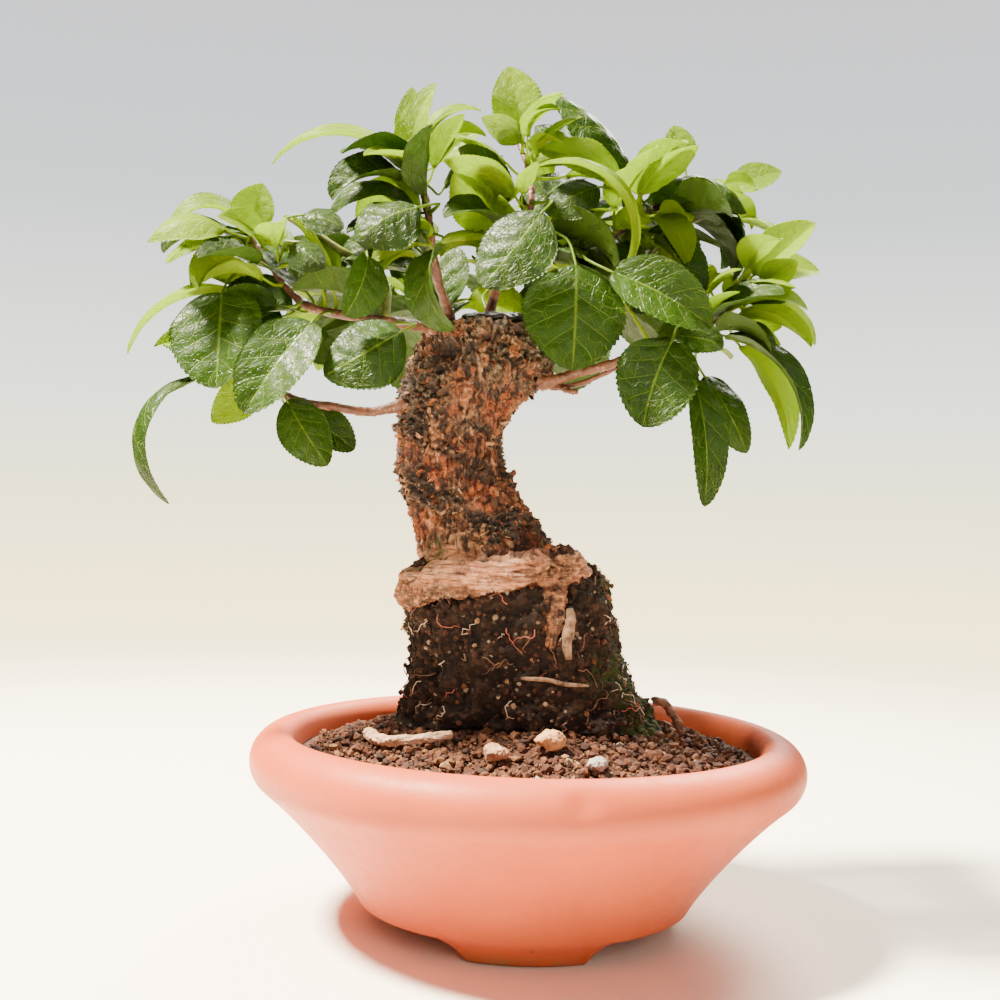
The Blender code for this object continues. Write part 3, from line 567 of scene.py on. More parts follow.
FEET = 3
FOOT_ARC = math.radians(44)  # the part of a turn that each foot takes
FOOT_HEIGHT = 6.5 * MM
ARCH_HEIGHT = 5.0 * MM
UNDERSIDE = 5.5 * MM
RING_INSIDE = 31.5 * MM
BASE_RADIUS = 45 * MM
SOIL_LEVEL = 46 * MM
POT_SIDES = 256


def pot_profile():
    """The pot's outline, from the drain hole around the foot, the wall and the rim to the floor inside."""
    roll_radius, foot_radius, floor, drain = 8 * MM, 40.5 * MM, 10.5 * MM, 9 * MM
    centre = (RIM_RADIUS - roll_radius, RIM_HEIGHT - roll_radius)
    roll = arc(centre, (roll_radius, roll_radius), -50, 90, 22)
    lip_radius = centre[0] - 5 * MM + 0.5 * MM
    lip = arc((centre[0], SOIL_LEVEL), (centre[0] - lip_radius, RIM_HEIGHT - SOIL_LEVEL), 90, 180, 12)
    wall_start, wall_end = (BASE_RADIUS, FOOT_HEIGHT), roll[0]
    steep = (BASE_RADIUS + 5 * MM, FOOT_HEIGHT + 9 * MM)
    into = (wall_end[0] - 8 * MM, wall_end[1] - 6.5 * MM)
    profile = [(drain, UNDERSIDE), (RING_INSIDE - 4 * MM, UNDERSIDE), (RING_INSIDE - 1.5 * MM, UNDERSIDE),
               (RING_INSIDE - 0.4 * MM, UNDERSIDE - 0.5 * MM), (RING_INSIDE, UNDERSIDE - 1.5 * MM),
               (RING_INSIDE, 1 * MM), (RING_INSIDE + 0.5 * MM, 0.3 * MM), (RING_INSIDE + 1.2 * MM, 0)]
    profile += [(foot_radius - 1.5 * MM, 0), (foot_radius - 0.6 * MM, 0.25 * MM),
                (foot_radius - 0.1 * MM, 1 * MM)]
    profile += bezier((foot_radius, 1.3 * MM), (foot_radius + 1.5 * MM, 3.5 * MM),
                      (BASE_RADIUS - 2 * MM, 5 * MM), wall_start, 7)
    profile += bezier(wall_start, steep, into, wall_end, 22) + roll[1:] + lip[1:]
    profile += bezier(lip[-1], (lip[-1][0] - 1 * MM, 36 * MM), (49 * MM, floor + 9 * MM),
                      (40 * MM, floor), 14)
    return profile + [(25 * MM, floor), (drain + 0.5 * MM, floor), (drain, floor - 0.5 * MM)]


def make_pot():
    """The turned pot: its CAD node's outline with finer steps, slight wear and a soft dent in the rim."""
    profile, points = pot_profile(), []
    for side in range(POT_SIDES):
        angle = math.tau * side / POT_SIDES
        turn = (angle + math.pi / 2 + math.pi / FEET) % (math.tau / FEET) - math.pi / FEET
        away = max(0.0, abs(turn) - FOOT_ARC / 2) / (math.pi / FEET - FOOT_ARC / 2)
        arch = ARCH_HEIGHT * (1 - (1 - min(away, 1.0)) ** 6)
        for radius, height in profile:
            if height < FOOT_HEIGHT and RING_INSIDE - 2 * MM < radius < BASE_RADIUS + 1 * MM:
                height = arch + height * (FOOT_HEIGHT - arch) / FOOT_HEIGHT
                height = min(height, UNDERSIDE) if radius < RING_INSIDE + 0.1 * MM else height
            wear = 0.0012 * noise.noise(Vector((math.cos(angle), math.sin(angle), height * 30)))
            worn = radius * (1 + wear)
            points.append(Vector((worn * math.cos(angle), worn * math.sin(angle), height)) + AXIS)
    dent = AXIS + Vector((0.15, -1, 0)).normalized() * (RIM_RADIUS - 0.9 * MM) + Vector((0, 0, 47.5 * MM))
    for point in points:
        away = (point - dent).length / (3.2 * MM)
        if away < 2.5:
            inwards = (AXIS - point).to_2d().normalized().to_3d()
            point += inwards * (1.0 * MM * math.exp(-away * away))
    count = len(profile)
    faces = []
    for side in range(POT_SIDES):
        here, after = side * count, (side + 1) % POT_SIDES * count
        for k in range(count):
            up = (k + 1) % count
            faces.append((here + k, after + k, after + up, here + up))
    settle(new_piece("bowl_pot", points, faces, MATERIALS["ceramic"]), "ceramic", "pot")


# ---- soil, mound and what lies on them


def refined(name, node, voxel, levels, material):
    """A dense copy of a CAD node's shape, ready to be shaped finely."""
    points, triangles = node_mesh(node)
    made = new_piece(name, points, triangles, material)
    remesh = made.modifiers.new("remesh", "REMESH")
    remesh.mode = "VOXEL"
    remesh.voxel_size = voxel
    smooth = made.modifiers.new("smooth", "SMOOTH")
    smooth.factor = 0.5
    smooth.iterations = 4
    if levels:
        finer = made.modifiers.new("finer", "SUBSURF")
        finer.levels = finer.render_levels = levels
    bpy.context.view_layer.update()
    graph = bpy.context.evaluated_depsgraph_get()
    dense = bpy.data.meshes.new_from_object(made.evaluated_get(graph))
    made.modifiers.clear()
    made.data = dense
    dense.materials.clear()
    dense.materials.append(material)
    dense.shade_smooth()
    return made


def read_points(made):
    """The piece's points, each as a vector for the noises and as an array with its normal."""
    points = read_numbers(made.data.vertices, "co", 3)
    return [(Vector(point), point, normal) for point, normal in
            zip(points, read_numbers(made.data.vertices, "normal", 3))]


def write_points(made, points, values):
    made.data.vertices.foreach_set("co", np.asarray(points, np.float32).ravel())
    store(made.data, values)
    made.data.update()


def soil_surface_height(x, y):
    """The heaped surface of the soil, as in the CAD."""
    heap, reach = 13 * MM, 62.5 * MM
    share = min(math.hypot(x - AXIS.x, y - AXIS.y) / reach, 1)
    return SOIL_LEVEL + heap * (1 - share**2) ** 1.6


def make_soil():
    """The crumbly top and the hidden body of the soil, as one closed shape, with painted shade in the dips of
    its top.
    """
    radius, rings, sides = 62.3 * MM, 72, 288
    points, painted_shade = [], []
    for ring in range(1, rings + 1):
        for side in range(sides):
            angle = math.tau * side / sides
            reach = radius * ring / rings
            x, y = AXIS.x + reach * math.cos(angle), AXIS.y + reach * math.sin(angle)
            spot = Vector((x, y, 0))
            lump = noise.fractal(spot * 210, 0.7, 2.0, 4) * 0.9 + noise.fractal(spot * 620, 0.8, 2.0, 3) * 0.5
            edge = min(1.0, (radius - reach) / (3 * MM) + 0.25)
            points.append(Vector((x, y, soil_surface_height(x, y) + (lump * 0.9 * edge - 0.5) * MM)))
            # Painted shade: darker where the surface dips.
            painted_shade.append(clamp(-lump * 0.9))
    for reach, height in ((radius - 0.8 * MM, 42 * MM), (57 * MM, 32 * MM), (48 * MM, 19 * MM),
                          (40 * MM, 11.5 * MM), (19 * MM, 11.2 * MM)):
        for side in range(sides):
            angle = math.tau * side / sides
            points.append(AXIS + Vector((reach * math.cos(angle), reach * math.sin(angle), height)))
            painted_shade.append(0.4)
    faces = grid_faces(rings + 5, sides, closed=True)
    faces.append(tuple(reversed(range(sides))))
    last = len(points) - sides
    faces.append(tuple(range(last, last + sides)))
    settle(new_piece("soil", points, faces, MATERIALS["soil"], values={"painted_shade": painted_shade}), "soil", "soil_bed")


CRUMB_TRIES = 7500


def crumb_shapes(kinds, rng):
    """A few different angular grains of unit size."""
    shapes = []
    for _ in range(kinds):
        shape = bmesh.new()
        bmesh.ops.create_icosphere(shape, subdivisions=1, radius=1)
        for vertex in shape.verts:
            vertex.co *= rng.uniform(0.72, 1.18)
        faces = [tuple(v.index for v in face.verts) for face in shape.faces]
        shapes.append(([v.co.copy() for v in shape.verts], faces))
        shape.free()
    return shapes


def drift(rng, *spreads):
    """A random vector: for each direction, the middle and the spread."""
    return Vector([rng.gauss(*spread) for spread in spreads])


def turned_about(rng):
    return Matrix.Rotation(rng.uniform(0, math.tau), 3, drift(rng, (0, 1), (0, 1), (0, 1)))


def grain_tone(rng, usual, spread, rare, palest):
    """Mostly around the usual tone, and now and then a pale grain."""
    tone = clamp(rng.gauss(usual, spread))
    return rng.uniform(palest, 1.0) if rng.random() < rare else tone


def scatter_crumbs(mound_tree):
    """Loose grains of substrate over the whole soil, finer ones between coarser ones."""
    rng = random.Random(7)
    shapes = crumb_shapes(14, rng)
    loose = Joined()
    for _ in range(CRUMB_TRIES):
        reach = 61 * MM * math.sqrt(rng.random())
        angle = rng.uniform(0, math.tau)
        x, y = AXIS.x + reach * math.cos(angle), AXIS.y + reach * math.sin(angle)
        size = MM * (0.35 + 1.5 * rng.random() ** 4)
        if reach > 60 * MM - size:
            continue
        height = soil_surface_height(x, y)
        hit = mound_tree.ray_cast(Vector((x, y, 1)), Vector((0, 0, -1)))
        if hit[0] and hit[0].z > height + 4 * MM:
            continue
        middle = Vector((x, y, height + size * rng.uniform(-0.1, 0.45)))
        corners, faces = rng.choice(shapes)
        turn = turned_about(rng) @ Matrix.Diagonal((1, rng.uniform(0.65, 1), rng.uniform(0.55, 0.9)))
        tone = grain_tone(rng, 0.3, 0.17, 0.03, 0.75)
        loose.add([middle + turn @ (corner * size) for corner in corners], faces, tone)
    settle(loose.piece("soil_grains", MATERIALS["crumbs"], sharp=25), "soil")


def make_mound():
    """The block of old substrate: rough, pitted, and mossy on its right slope, its left edge and its top,
    with painted shade in its pits.
    """
    made = refined("mound", "root_mound", 0.85 * MM, 1, MATERIALS["mound"])
    moved, painted_shade, moss = [], [], []
    for spot, point, normal in read_points(made):
        rough = noise.fractal(spot * 160, 0.75, 2.1, 5)
        distances, _ = noise.voronoi(spot * 480)
        grain = 0.35 - distances[0]
        height = (spot.z - mound_low.z) / (mound_high.z - mound_low.z)
        lift = (rough * 2.3 + grain * 1.3) * clamp(height * 12)
        moved.append(point + normal * (lift * MM))
        # Painted shade: the lower the surface sits, the darker its colour.
        painted_shade.append(clamp(0.25 - lift * 0.55))
        right = (spot.x - AXIS.x - 12 * MM) / (10 * MM)
        left = (AXIS.x - 31 * MM - spot.x) / (4 * MM)
        top = (height - 0.86) * 4
        moss.append(clamp(max(right * 0.7, left * 0.7, top) + noise.noise(spot * 75) * 0.8 - 0.35))
    write_points(made, moved, {"painted_shade": painted_shade, "moss": moss})
    settle(made, "mound", "root_mound")
    return made


def surface_spots(made, count, rng, keep):
    """Random places on the piece's faces with their normals, where keep says so."""
    mesh = made.data
    ends = np.cumsum(read_numbers(mesh.polygons, "area"))
    spots = []
    while len(spots) < count:
        face = mesh.polygons[int(np.searchsorted(ends, rng.random() * ends[-1]))]
        place = face.center + Vector([rng.uniform(-1, 1) for _ in range(3)]) * (0.3 * MM)
        if keep(place, face.normal):
            spots.append((place, face.normal.copy()))
    return spots


GRIP_LOW, GRIP_HIGH = mound_low.z + 4 * MM, mound_high.z - 1 * MM  # where things hold on the mound

# Roots bared on the mound's front: places across and up in millimetres from the pot's foot, and a radius.
BARE_ROOTS = (
    (((11, 90), (12.5, 86), (12, 80), (13.5, 74)), 1.5),
    (((-2, 71.5), (4, 71.2), (9, 69.8), (14, 68)), 0.6),
)


# Hair-fine roots: piece, material, how many, radius in millimetres.
HAIRS = (
    ("hair_roots", "hair_root", 60, 0.14),
    ("red_hair_roots", "red_root", 26, 0.16),
    ("brown_hair_roots", "dark_root", 70, 0.2),
)


def mound_grains(mound, rng):
    shapes = crumb_shapes(10, rng)
    grains = Joined()
    for place, normal in surface_spots(mound, 3400, rng, lambda p, n: p.z > GRIP_LOW and n.z > -0.4):
        size = MM * (0.25 + 0.75 * rng.random() ** 3)
        corners, faces = rng.choice(shapes)
        turn = turned_about(rng)
        tone = grain_tone(rng, 0.06, 0.16, 0.035, 0.7)
        grains.add([place + normal * (size * 0.2) + turn @ (c * size) for c in corners], faces, tone)
    settle(grains.piece("mound_grains", MATERIALS["crumbs"], sharp=25), "mound")


def hair_roots(mound, tree, rng, name, kind, count, thick):
    """Fine roots that wander over the mound's face."""
    hairs = Joined()
    starts = surface_spots(mound, count, rng, lambda p, n: GRIP_LOW < p.z < GRIP_HIGH and n.y < 0.75)
    for spot, normal in starts:
        heading = normal.orthogonal() + drift(rng, (0, 0.5), (0, 0.3), (-0.3, 0.6))
        route = []
        for _ in range(rng.randint(5, 11)):
            near, out, _, _ = tree.find_nearest(spot)
            route.append(near + out * (thick + 0.25 + rng.uniform(0, 0.5)) * MM)
            heading += drift(rng, (0, 0.35), (0, 0.35), (-0.05, 0.35))
            heading = (heading - out * heading.dot(out)).normalized()
            spot = near + heading * (1.1 * MM)
        radii = [thick * MM * (1.15 - 0.9 * k / len(route)) for k in range(len(route))]
        hairs.add(*tube_mesh(route, radii, 5))
    settle(hairs.piece(name, MATERIALS[kind]), "mound")


def bare_roots(tree):
    """Thicker roots, half sunk in the mound's front."""
    bare = Joined()
    for places, radius in BARE_ROOTS:
        line = []
        for x, z in places:
            near, out, _, _ = tree.find_nearest(Vector((AXIS.x + x * MM, mound_low.y - 4 * MM, z * MM)))
            line.append(np.array(near - out * (0.1 * radius * MM)))
        radii = []
        for step in range(17):
            taper = 0.25 + 0.75 * math.sin(math.pi * (0.06 + 0.88 * step / 16)) ** 0.5
            radii.append(radius * MM * (taper + 0.18 * noise.noise(Vector((step * 0.9, radius * 9, 0)))))
        bare.add(*tube_mesh(smooth_line(line, 16), radii, 12))
    settle(bare.piece("bare_roots", MATERIALS["tan_root"]), "mound")


def is_mossy(place, normal):
    right = (place.x - AXIS.x - 15 * MM) / (9 * MM)
    left = (AXIS.x - 31.5 * MM - place.x) / (3 * MM)
    patch = noise.noise(place * 75) * 0.9
    return place.z > GRIP_LOW and max(right, left) + patch * 1.5 > 0.85 and normal.z > -0.3


def moss_tufts(mound, rng):
    """Tiny pointed leaves of moss."""
    tufts = Joined()
    for place, normal in surface_spots(mound, 2400, rng, is_mossy):
        lean = (normal + drift(rng, (0, 0.45), (0, 0.45), (0.25, 0.35))).normalized()
        side = lean.orthogonal().normalized() * (0.13 * MM)
        other = lean.cross(side)
        tip = place + lean * (MM * rng.uniform(0.4, 1.2))
        base = place - normal * (0.2 * MM)
        tufts.add([base + side, base - side * 0.5 + other * 0.87, base - side * 0.5 - other * 0.87, tip],
                  [(0, 1, 3), (1, 2, 3), (2, 0, 3), (2, 1, 0)], rng.random())
    settle(tufts.piece("moss_tufts", MATERIALS["moss"], sharp=60), "mound")


def dress_mound(mound):
    """Grains held by the mound, roots over its face, and tufts of moss."""
    rng = random.Random(21)
    mound_grains(mound, rng)
    tree = BVHTree.FromObject(mound, bpy.context.evaluated_depsgraph_get())
    for row in HAIRS:
        hair_roots(mound, tree, rng, *row)
    bare_roots(tree)
    moss_tufts(mound, rng)


def stone_lift(spot):
    distances, _ = noise.voronoi(spot * 330)
    return (distances[1] - distances[0]) * 0.45 + noise.fractal(spot * 500, 0.8, 2, 4) * 0.4 - 0.1


def root_lift(spot):
    return noise.fractal(Vector((spot.x * 260, spot.y * 700, spot.z * 700)), 0.7, 2, 5) * 0.5 + 0.1


def paste_lift(spot):
    return noise.fractal(spot * 190, 0.8, 2, 3) * 0.9


def make_skin(name, node, voxel, slot, lift_at):
    """A small piece that only needs a rough skin; the voxel is in millimetres."""
    made = refined(name, node, voxel * MM, 1, MATERIALS[slot])
    moved = [point + normal * (lift_at(spot) * MM) for spot, point, normal in read_points(made)]
    write_points(made, moved, {})
    settle(made, slot, node)


# ---- trunk


# A rotted knot left of the front, the ledge's rough right end, and the moss at the trunk's left foot.
HOLE = Vector((trunk_low.x + 14 * MM, AXIS.y - 11 * MM, trunk_high.z - 8.5 * MM))
KNOB = Vector((AXIS.x + 5 * MM, AXIS.y - 22 * MM, mound_high.z - 1 * MM))
MOSSY_FOOT = Vector((AXIS.x - 29 * MM, AXIS.y - 14 * MM, mound_high.z + 3 * MM))


def ridges(place):
    """Sharp meandering ridges between 0 and 1."""
    return 1 - min(1.0, abs(noise.fractal(place, 0.8, 2.1, 3)) * 2.2)


def squashed(place, across, up):
    """The place scaled for a noise that is longer one way than the other."""
    return Vector((place.x * across, place.y * across, place.z * up))


def cell_edge(place, sharp):
    """0 on the edges between random cells and 1 inside them."""
    distances, _ = noise.voronoi(place)
    return min(1.0, (distances[1] - distances[0]) * sharp)


def trunk_row(spot):
    """How many millimetres the trunk's surface stands out here, and the values that its material reads."""
    warp = noise.noise_vector(spot * 150) * 0.0021 + noise.noise_vector(spot * 480) * 0.0006
    bent = spot + warp
    on_root = clamp((mound_high.z + 3.4 * MM + 1.5 * warp.x - bent.z) / (1.0 * MM))
    share = (spot.z - mound_high.z) / (trunk_high.z - mound_high.z)
    right = (spot.x - AXIS.x + 18 * MM) / (20 * MM)
    band = noise.noise(squashed(bent, 60, 105))
    cover = 0.40 + band * 1.7 + 0.35 * max(0.0, right) + 0.7 * noise.noise(bent * 230)
    cover = clamp(cover * 2.2 - 0.45)
    plates = ridges(squashed(bent, 170, 120))
    fibre, strand = ridges(squashed(bent, 420, 75)), ridges(squashed(bent, 980, 190))
    wood_lift = fibre * 0.85 + strand * 0.5 + plates * 0.5 - 0.75
    flake = cell_edge(squashed(bent, 520, 330), 2.4)
    scale = cell_edge(squashed(bent, 240, 150), 3.2)
    crumb = noise.fractal(bent * 900, 0.65, 2.1, 3)
    crust_lift = ridges(bent * 330) * 0.9 + flake * 0.5 + crumb * 0.95 + plates * 0.5 + scale * 0.9 - 0.85
    bark = wood_lift * (1 - cover) + crust_lift * cover
    below = clamp((mound_high.z - 4.5 * MM - spot.z) / (3 * MM))
    run = (900, 700, 110) if below > 0.5 else (70, 260, 760)
    streak = noise.fractal(Vector([place * scale for place, scale in zip(bent, run)]), 0.7, 2.0, 4)
    knob = clamp(1.7 - (spot - KNOB).length / (5.5 * MM))
    skin = 0.1 + streak * 0.7 + noise.fractal(spot * 120, 0.7, 2, 3) * 1.1 + knob * (crust_lift - 0.2)
    hole = math.exp(-(((spot - HOLE).length / (3.2 * MM)) ** 4))
    lift = (bark * (1 - on_root) + skin * on_root) * 1.2 - 2.4 * hole
    # Painted shade: the lower the bark sits between its plates and streaks, and inside the rotted knot, the
    # darker its colour.
    hollow = max(0.0, 0.45 - bark) * 1.6 * (1 - on_root) + on_root * max(0.0, -streak - 0.22) * 1.8 + hole
    soiled = noise.fractal(spot * 210, 0.7, 2, 3) * 0.9 + below * 0.75 + knob * 0.7
    return lift, {
        "crust": cover * (1 - on_root),
        "painted_shade": clamp(hollow),
        "root": on_root,
        "grey": clamp((share - 0.62) * 3 + noise.noise(bent * 110)),
        "moss": clamp(1.5 - (spot - MOSSY_FOOT).length / (4.5 * MM)),
        "dirt": clamp(soiled) * on_root,
    }


def make_trunk():
    """Fibrous wood with a broken crust of dark flakes, above a smoother, peach-coloured root."""
    made = refined("bark_trunk", "trunk", 0.74 * MM, 1, MATERIALS["bark"])
    moved, rows = [], []
    for spot, point, normal in read_points(made):
        lift, row = trunk_row(spot)
        moved.append(point + normal * (lift * MM))
        rows.append(row)
    write_points(made, moved, {key: [row[key] for row in rows] for key in rows[0]})
    settle(made, "bark", "trunk")
    return made


def make_flakes(trunk):
    """Loose slivers of bark that stand off the trunk, some along its grain and some curled across it."""
    rng = random.Random(5)
    slivers = Joined()
    low = mound_high.z + 4.5 * MM
    for place, normal in surface_spots(trunk, 1900, rng, lambda p, n: low < p.z < trunk_high.z - 1.5 * MM):
        up = Vector((rng.gauss(0, 0.7), rng.gauss(0, 0.7), rng.choice((1, 1, 0.2)))).normalized()
        up = (up - normal * up.dot(normal)).normalized()
        side = normal.cross(up)
        long, wide = MM * (0.7 + 3.0 * rng.random() ** 2), MM * (0.5 + 1.8 * rng.random() ** 2)
        thick, stand = 0.1 * MM, rng.uniform(0.2, 0.8)
        corners = []
        for along, out in ((1.0, -0.25), (0.4, 0.1), (-0.2, 0.35), (-1.0, stand)):
            narrow = wide * (1 - 0.45 * abs(along)) * rng.uniform(0.75, 1.2)
            for across, layer in ((-1, 0), (1, 0), (1, 1), (-1, 1)):
                corners.append(place + up * (long * along / 2) + side * (narrow * across / 2)
                               + normal * ((out - 0.15) * MM * 0.8 + layer * thick))
        faces = grid_faces(4, 4, closed=True) + [(3, 2, 1, 0), (12, 13, 14, 15)]
        slivers.add(corners, faces, rng.random())
    settle(slivers.piece("bark_slivers", MATERIALS["slivers"], sharp=30), "bark")


# ---- branches

BRANCH_NODES = [name for name in NODES if name.endswith("_branch")]
STEM_TREES = [node_tree(name) for name in BRANCH_NODES]
WOOD = [node_tree(name, MM) for name in BRANCH_NODES + ["trunk", "wound_paste"]]


def make_branches(trunk):
    """Knotty twigs that swell and sink into the trunk, and turn green further out."""
    trunk_tree = BVHTree.FromObject(trunk, bpy.context.evaluated_depsgraph_get())
    for node in BRANCH_NODES:
        made = refined(node.replace("_branch", "_stem"), node, 0.33 * MM, 1, MATERIALS["twig"])
        moved, tone = [], []
        for spot, point, normal in read_points(made):
            near, out, _, distance = trunk_tree.find_nearest(spot)
            collar = math.exp(-distance / (1.6 * MM))
            knots = max(0.0, noise.noise(spot * 170)) * 0.55
            rough = noise.fractal(spot * 420, 0.8, 2, 4) * 0.22
            sink = (near - out * (0.6 * MM) - spot) * (collar**3 if distance < 3 * MM else 0)
            moved.append(point + normal * ((knots + rough + collar * 0.9) * MM) + np.array(sink))
            tone.append(clamp(((spot - CROWN).length - 62 * MM) / (14 * MM)))
        write_points(made, moved, {"tone": tone})
        settle(made, "twig", node)


# ---- leaves

GROWN = []  # every blade made so far, to keep new ones clear of
COLUMNS = (-1, -0.94, -0.82, -0.64, -0.44, -0.24, -0.09, 0, 0.09, 0.24, 0.44, 0.64, 0.82, 0.94, 1)
TEETH = 19


def blade_outline(kind, share):
    swell, fullness = (0.84, 0.60) if kind == "mature" else (0.80, 0.78)
    return math.sin(math.pi * share**swell) ** fullness if share < 1 else 0.0


def shell_faces(rows, columns):
    """Faces of a sheet of rows x columns points, of its underside, whose points come second, and its edge."""
    count = rows * columns
    faces = [tuple(reversed(f)) for f in grid_faces(rows, columns)]
    faces += [tuple(i + count for i in f) for f in grid_faces(rows, columns)]
    for row in range(rows - 1):
        a, b = row * columns, (row + 1) * columns
        faces.append((a, b, b + count, a + count))
        faces.append((b + columns - 1, a + columns - 1, a + columns - 1 + count, b + columns - 1 + count))
    for column in range(columns - 1):
        last = (rows - 1) * columns + column
        faces.append((column + 1, column, column + count, column + 1 + count))
        faces.append((last, last + 1, last + 1 + count, last + count))
    return faces


def stalk_tube(stalk, end, half_width):
    """The leaf's stalk, thicker where it leaves the branch, up to its end under the blade."""
    steps = 10
    thick = 0.52 * MM if half_width > 4 * MM else 0.4 * MM
    radii = [thick * (1.35 - 0.5 * min(1, step / 3)) * (1 - 0.25 * step / steps) for step in range(steps + 2)]
    return tube_mesh(smooth_line(stalk, steps) + [end], radii, 8)


def leaf_mesh(kind, stalk, centres, ups, half_width, fold, rng):
    """A blade with teeth, sunken veins and waves between them, a rib below, and its stalk.

    stalk and centres are the middle lines of the stalk and the blade; ups are the blade's upward directions.
    """
    shares = lengths_along(centres)
    length = sum(np.linalg.norm(b - a) for a, b in zip(centres[:-1], centres[1:]))
    rows = 3 * TEETH
    pucker = (0.62 if kind == "mature" else 0.28) * MM * min(1.0, half_width / (9 * MM))
    ripple = rng.uniform(0.03, 0.07) * half_width
    phase = rng.uniform(0, math.tau)
    cup = rng.uniform(0.04, 0.12) * (1 if fold > 0 else -1)
    twist = rng.uniform(-0.15, 0.15)
    sway = rng.uniform(-0.045, 0.045) * length
    top, under, uv = [], [], []
    for row in range(rows + 1):
        share = row / rows
        ahead = read_curve(shares, centres, min(share + 0.02, 1))
        ahead = ahead - read_curve(shares, centres, max(share - 0.02, 0))
        ahead /= np.linalg.norm(ahead)
        up = read_curve(shares, ups, share)
        up = up - ahead * up.dot(ahead)
        up /= np.linalg.norm(up)
        side = np.cross(up, ahead)
        turn = twist * share * share
        side, up = side * math.cos(turn) + up * math.sin(turn), up * math.cos(turn) - side * math.sin(turn)
        centre = read_curve(shares, centres, share) + side * (sway * math.sin(math.pi * share))
        half = max(half_width * blade_outline(kind, share), 0.45 * MM * (1 - share) + 0.03 * MM)
        tooth = (row % 3) / 2 if 0.06 < share < 0.97 else 0.0
        for t in COLUMNS:
            reach = abs(t)
            edge = max(0.0, (reach - 0.82) / 0.18)
            out = math.copysign(half * (reach + 0.045 * tooth * edge) * math.cos(fold), t) if t else 0.0
            slope = math.sqrt(reach * reach + 0.012) - 0.11
            lift = half * (math.sin(fold) * slope + cup * reach * reach)
            sweep = math.tau * 2.6 * share + phase + (1.7 if t > 0 else 0)
            lift += ripple * edge * math.sin(sweep) * (1 - share)
            wave = (share - 0.24 * reach**0.85) * VEINS + (0.5 if t > 0 else 0)
            crest = abs(math.sin(math.pi * wave)) ** 0.7 - 0.5
            lift += pucker * crest * min(1.0, reach / 0.12) * (1 - reach**3) * min(1.0, half / (5 * MM))
            lift -= 0.22 * MM * math.exp(-((reach * half / (0.5 * MM)) ** 2)) * (1 - share)
            lean = ahead * (0.25 * length / rows * 3 * tooth * edge)
            point = centre + side * out + up * lift + lean
            thick = 0.26 * (1 - 0.6 * reach**2) * MM
            rib = 0.55 * MM * math.exp(-((reach * half / (0.34 * MM)) ** 2)) * (1 - 0.75 * share)
            top.append(point + up * thick * 0.5)
            under.append(point - up * (thick * 0.5 + rib))
            uv.append((0.5 + t / 2, share))
    end = read_curve(shares, centres, 0.05) - read_curve(shares, ups, 0.05) * (0.35 * MM)
    tube, tube_faces = stalk_tube(stalk, end, half_width)
    points = top + under
    faces = shell_faces(rows + 1, len(COLUMNS)) + [tuple(i + len(points) for i in f) for f in tube_faces]
    below = [0.0] * len(top) + [1.0] * len(under) + [0.35] * len(tube)
    return points + tube, faces, uv + uv + [(0.5, 0.0)] * len(tube), below


def blade_tree(kind, centres, ups, half_width):
    """The blade as a coarse strip in millimetres: faces this small would pass unnoticed in metres."""
    shares = lengths_along(centres)
    points = []
    for row in range(10):
        share = 0.04 + 0.92 * row / 9
        centre, up = read_curve(shares, centres, share), read_curve(shares, ups, share)
        ahead = read_curve(shares, centres, min(share + 0.05, 1)) - read_curve(shares, centres, share - 0.04)
        side = np.cross(up, ahead)
        side *= half_width * blade_outline(kind, share) / np.linalg.norm(side)
        points += [tuple((centre - side) / MM), tuple(centre / MM), tuple((centre + side) / MM)]
    return BVHTree.FromPolygons(points, grid_faces(10, 3))


def make_leaf(name, kind, stalk, centres, ups, half_width, fold, nodes=(), tone=None):
    rng = random.Random(name)
    GROWN.append(blade_tree(kind, centres, ups, half_width))
    points, faces, uv, below = leaf_mesh(kind, stalk, centres, ups, half_width, fold, rng)
    shade = rng.uniform(0.0, 0.75) if tone is None else tone
    values = {"tone": [shade] * len(points), "under": below}
    settle(new_piece(name, points, faces, MATERIALS[kind], uv, values), kind + "_leaf", *nodes)


def sections_of(node):
    """The CAD leaf's sections, from its stalk to its tip: each is five points, and the tip is one."""
    points, triangles = node_mesh(node)
    beside = [set() for _ in points]
    for a, b, c in triangles:
        beside[a].update((b, c))
        beside[b].update((a, c))
        beside[c].update((a, b))
    for tip in range(len(points)):
        levels, seen = [{tip}], {tip}
        while True:
            found = set().union(*(beside[i] for i in levels[-1])) - seen
            if not found:
                break
            levels.append(found)
            seen |= found
        if all(len(level) == 5 for level in levels[1:]):
            return [points[sorted(level)] for level in reversed(levels[1:])], points[tip]
    raise ValueError(f"{node} has no point that its sections lead to")


def section_facts(section):
    """The section's middle, upward direction, half width and the lift of its edges."""
    pairs = [(np.linalg.norm(section[i] - section[j]), i, j) for i in range(5) for j in range(i)]
    _, left, right = max(pairs)
    others = [k for k in range(5) if k not in (left, right)]
    near = min((np.linalg.norm(section[i] - section[j]), i, j) for i in others for j in others if i < j)
    crown = next(k for k in others if k not in near[1:])
    rib = (section[near[1]] + section[near[2]]) / 2
    up = section[crown] - rib
    depth = np.linalg.norm(up)
    up = up / depth
    middle = section[crown] - up * (depth * 0.44)
    half = np.linalg.norm(section[left] - section[right]) / 2
    lift = ((section[left] + section[right]) / 2 - middle).dot(up)
    return middle, up, half, lift


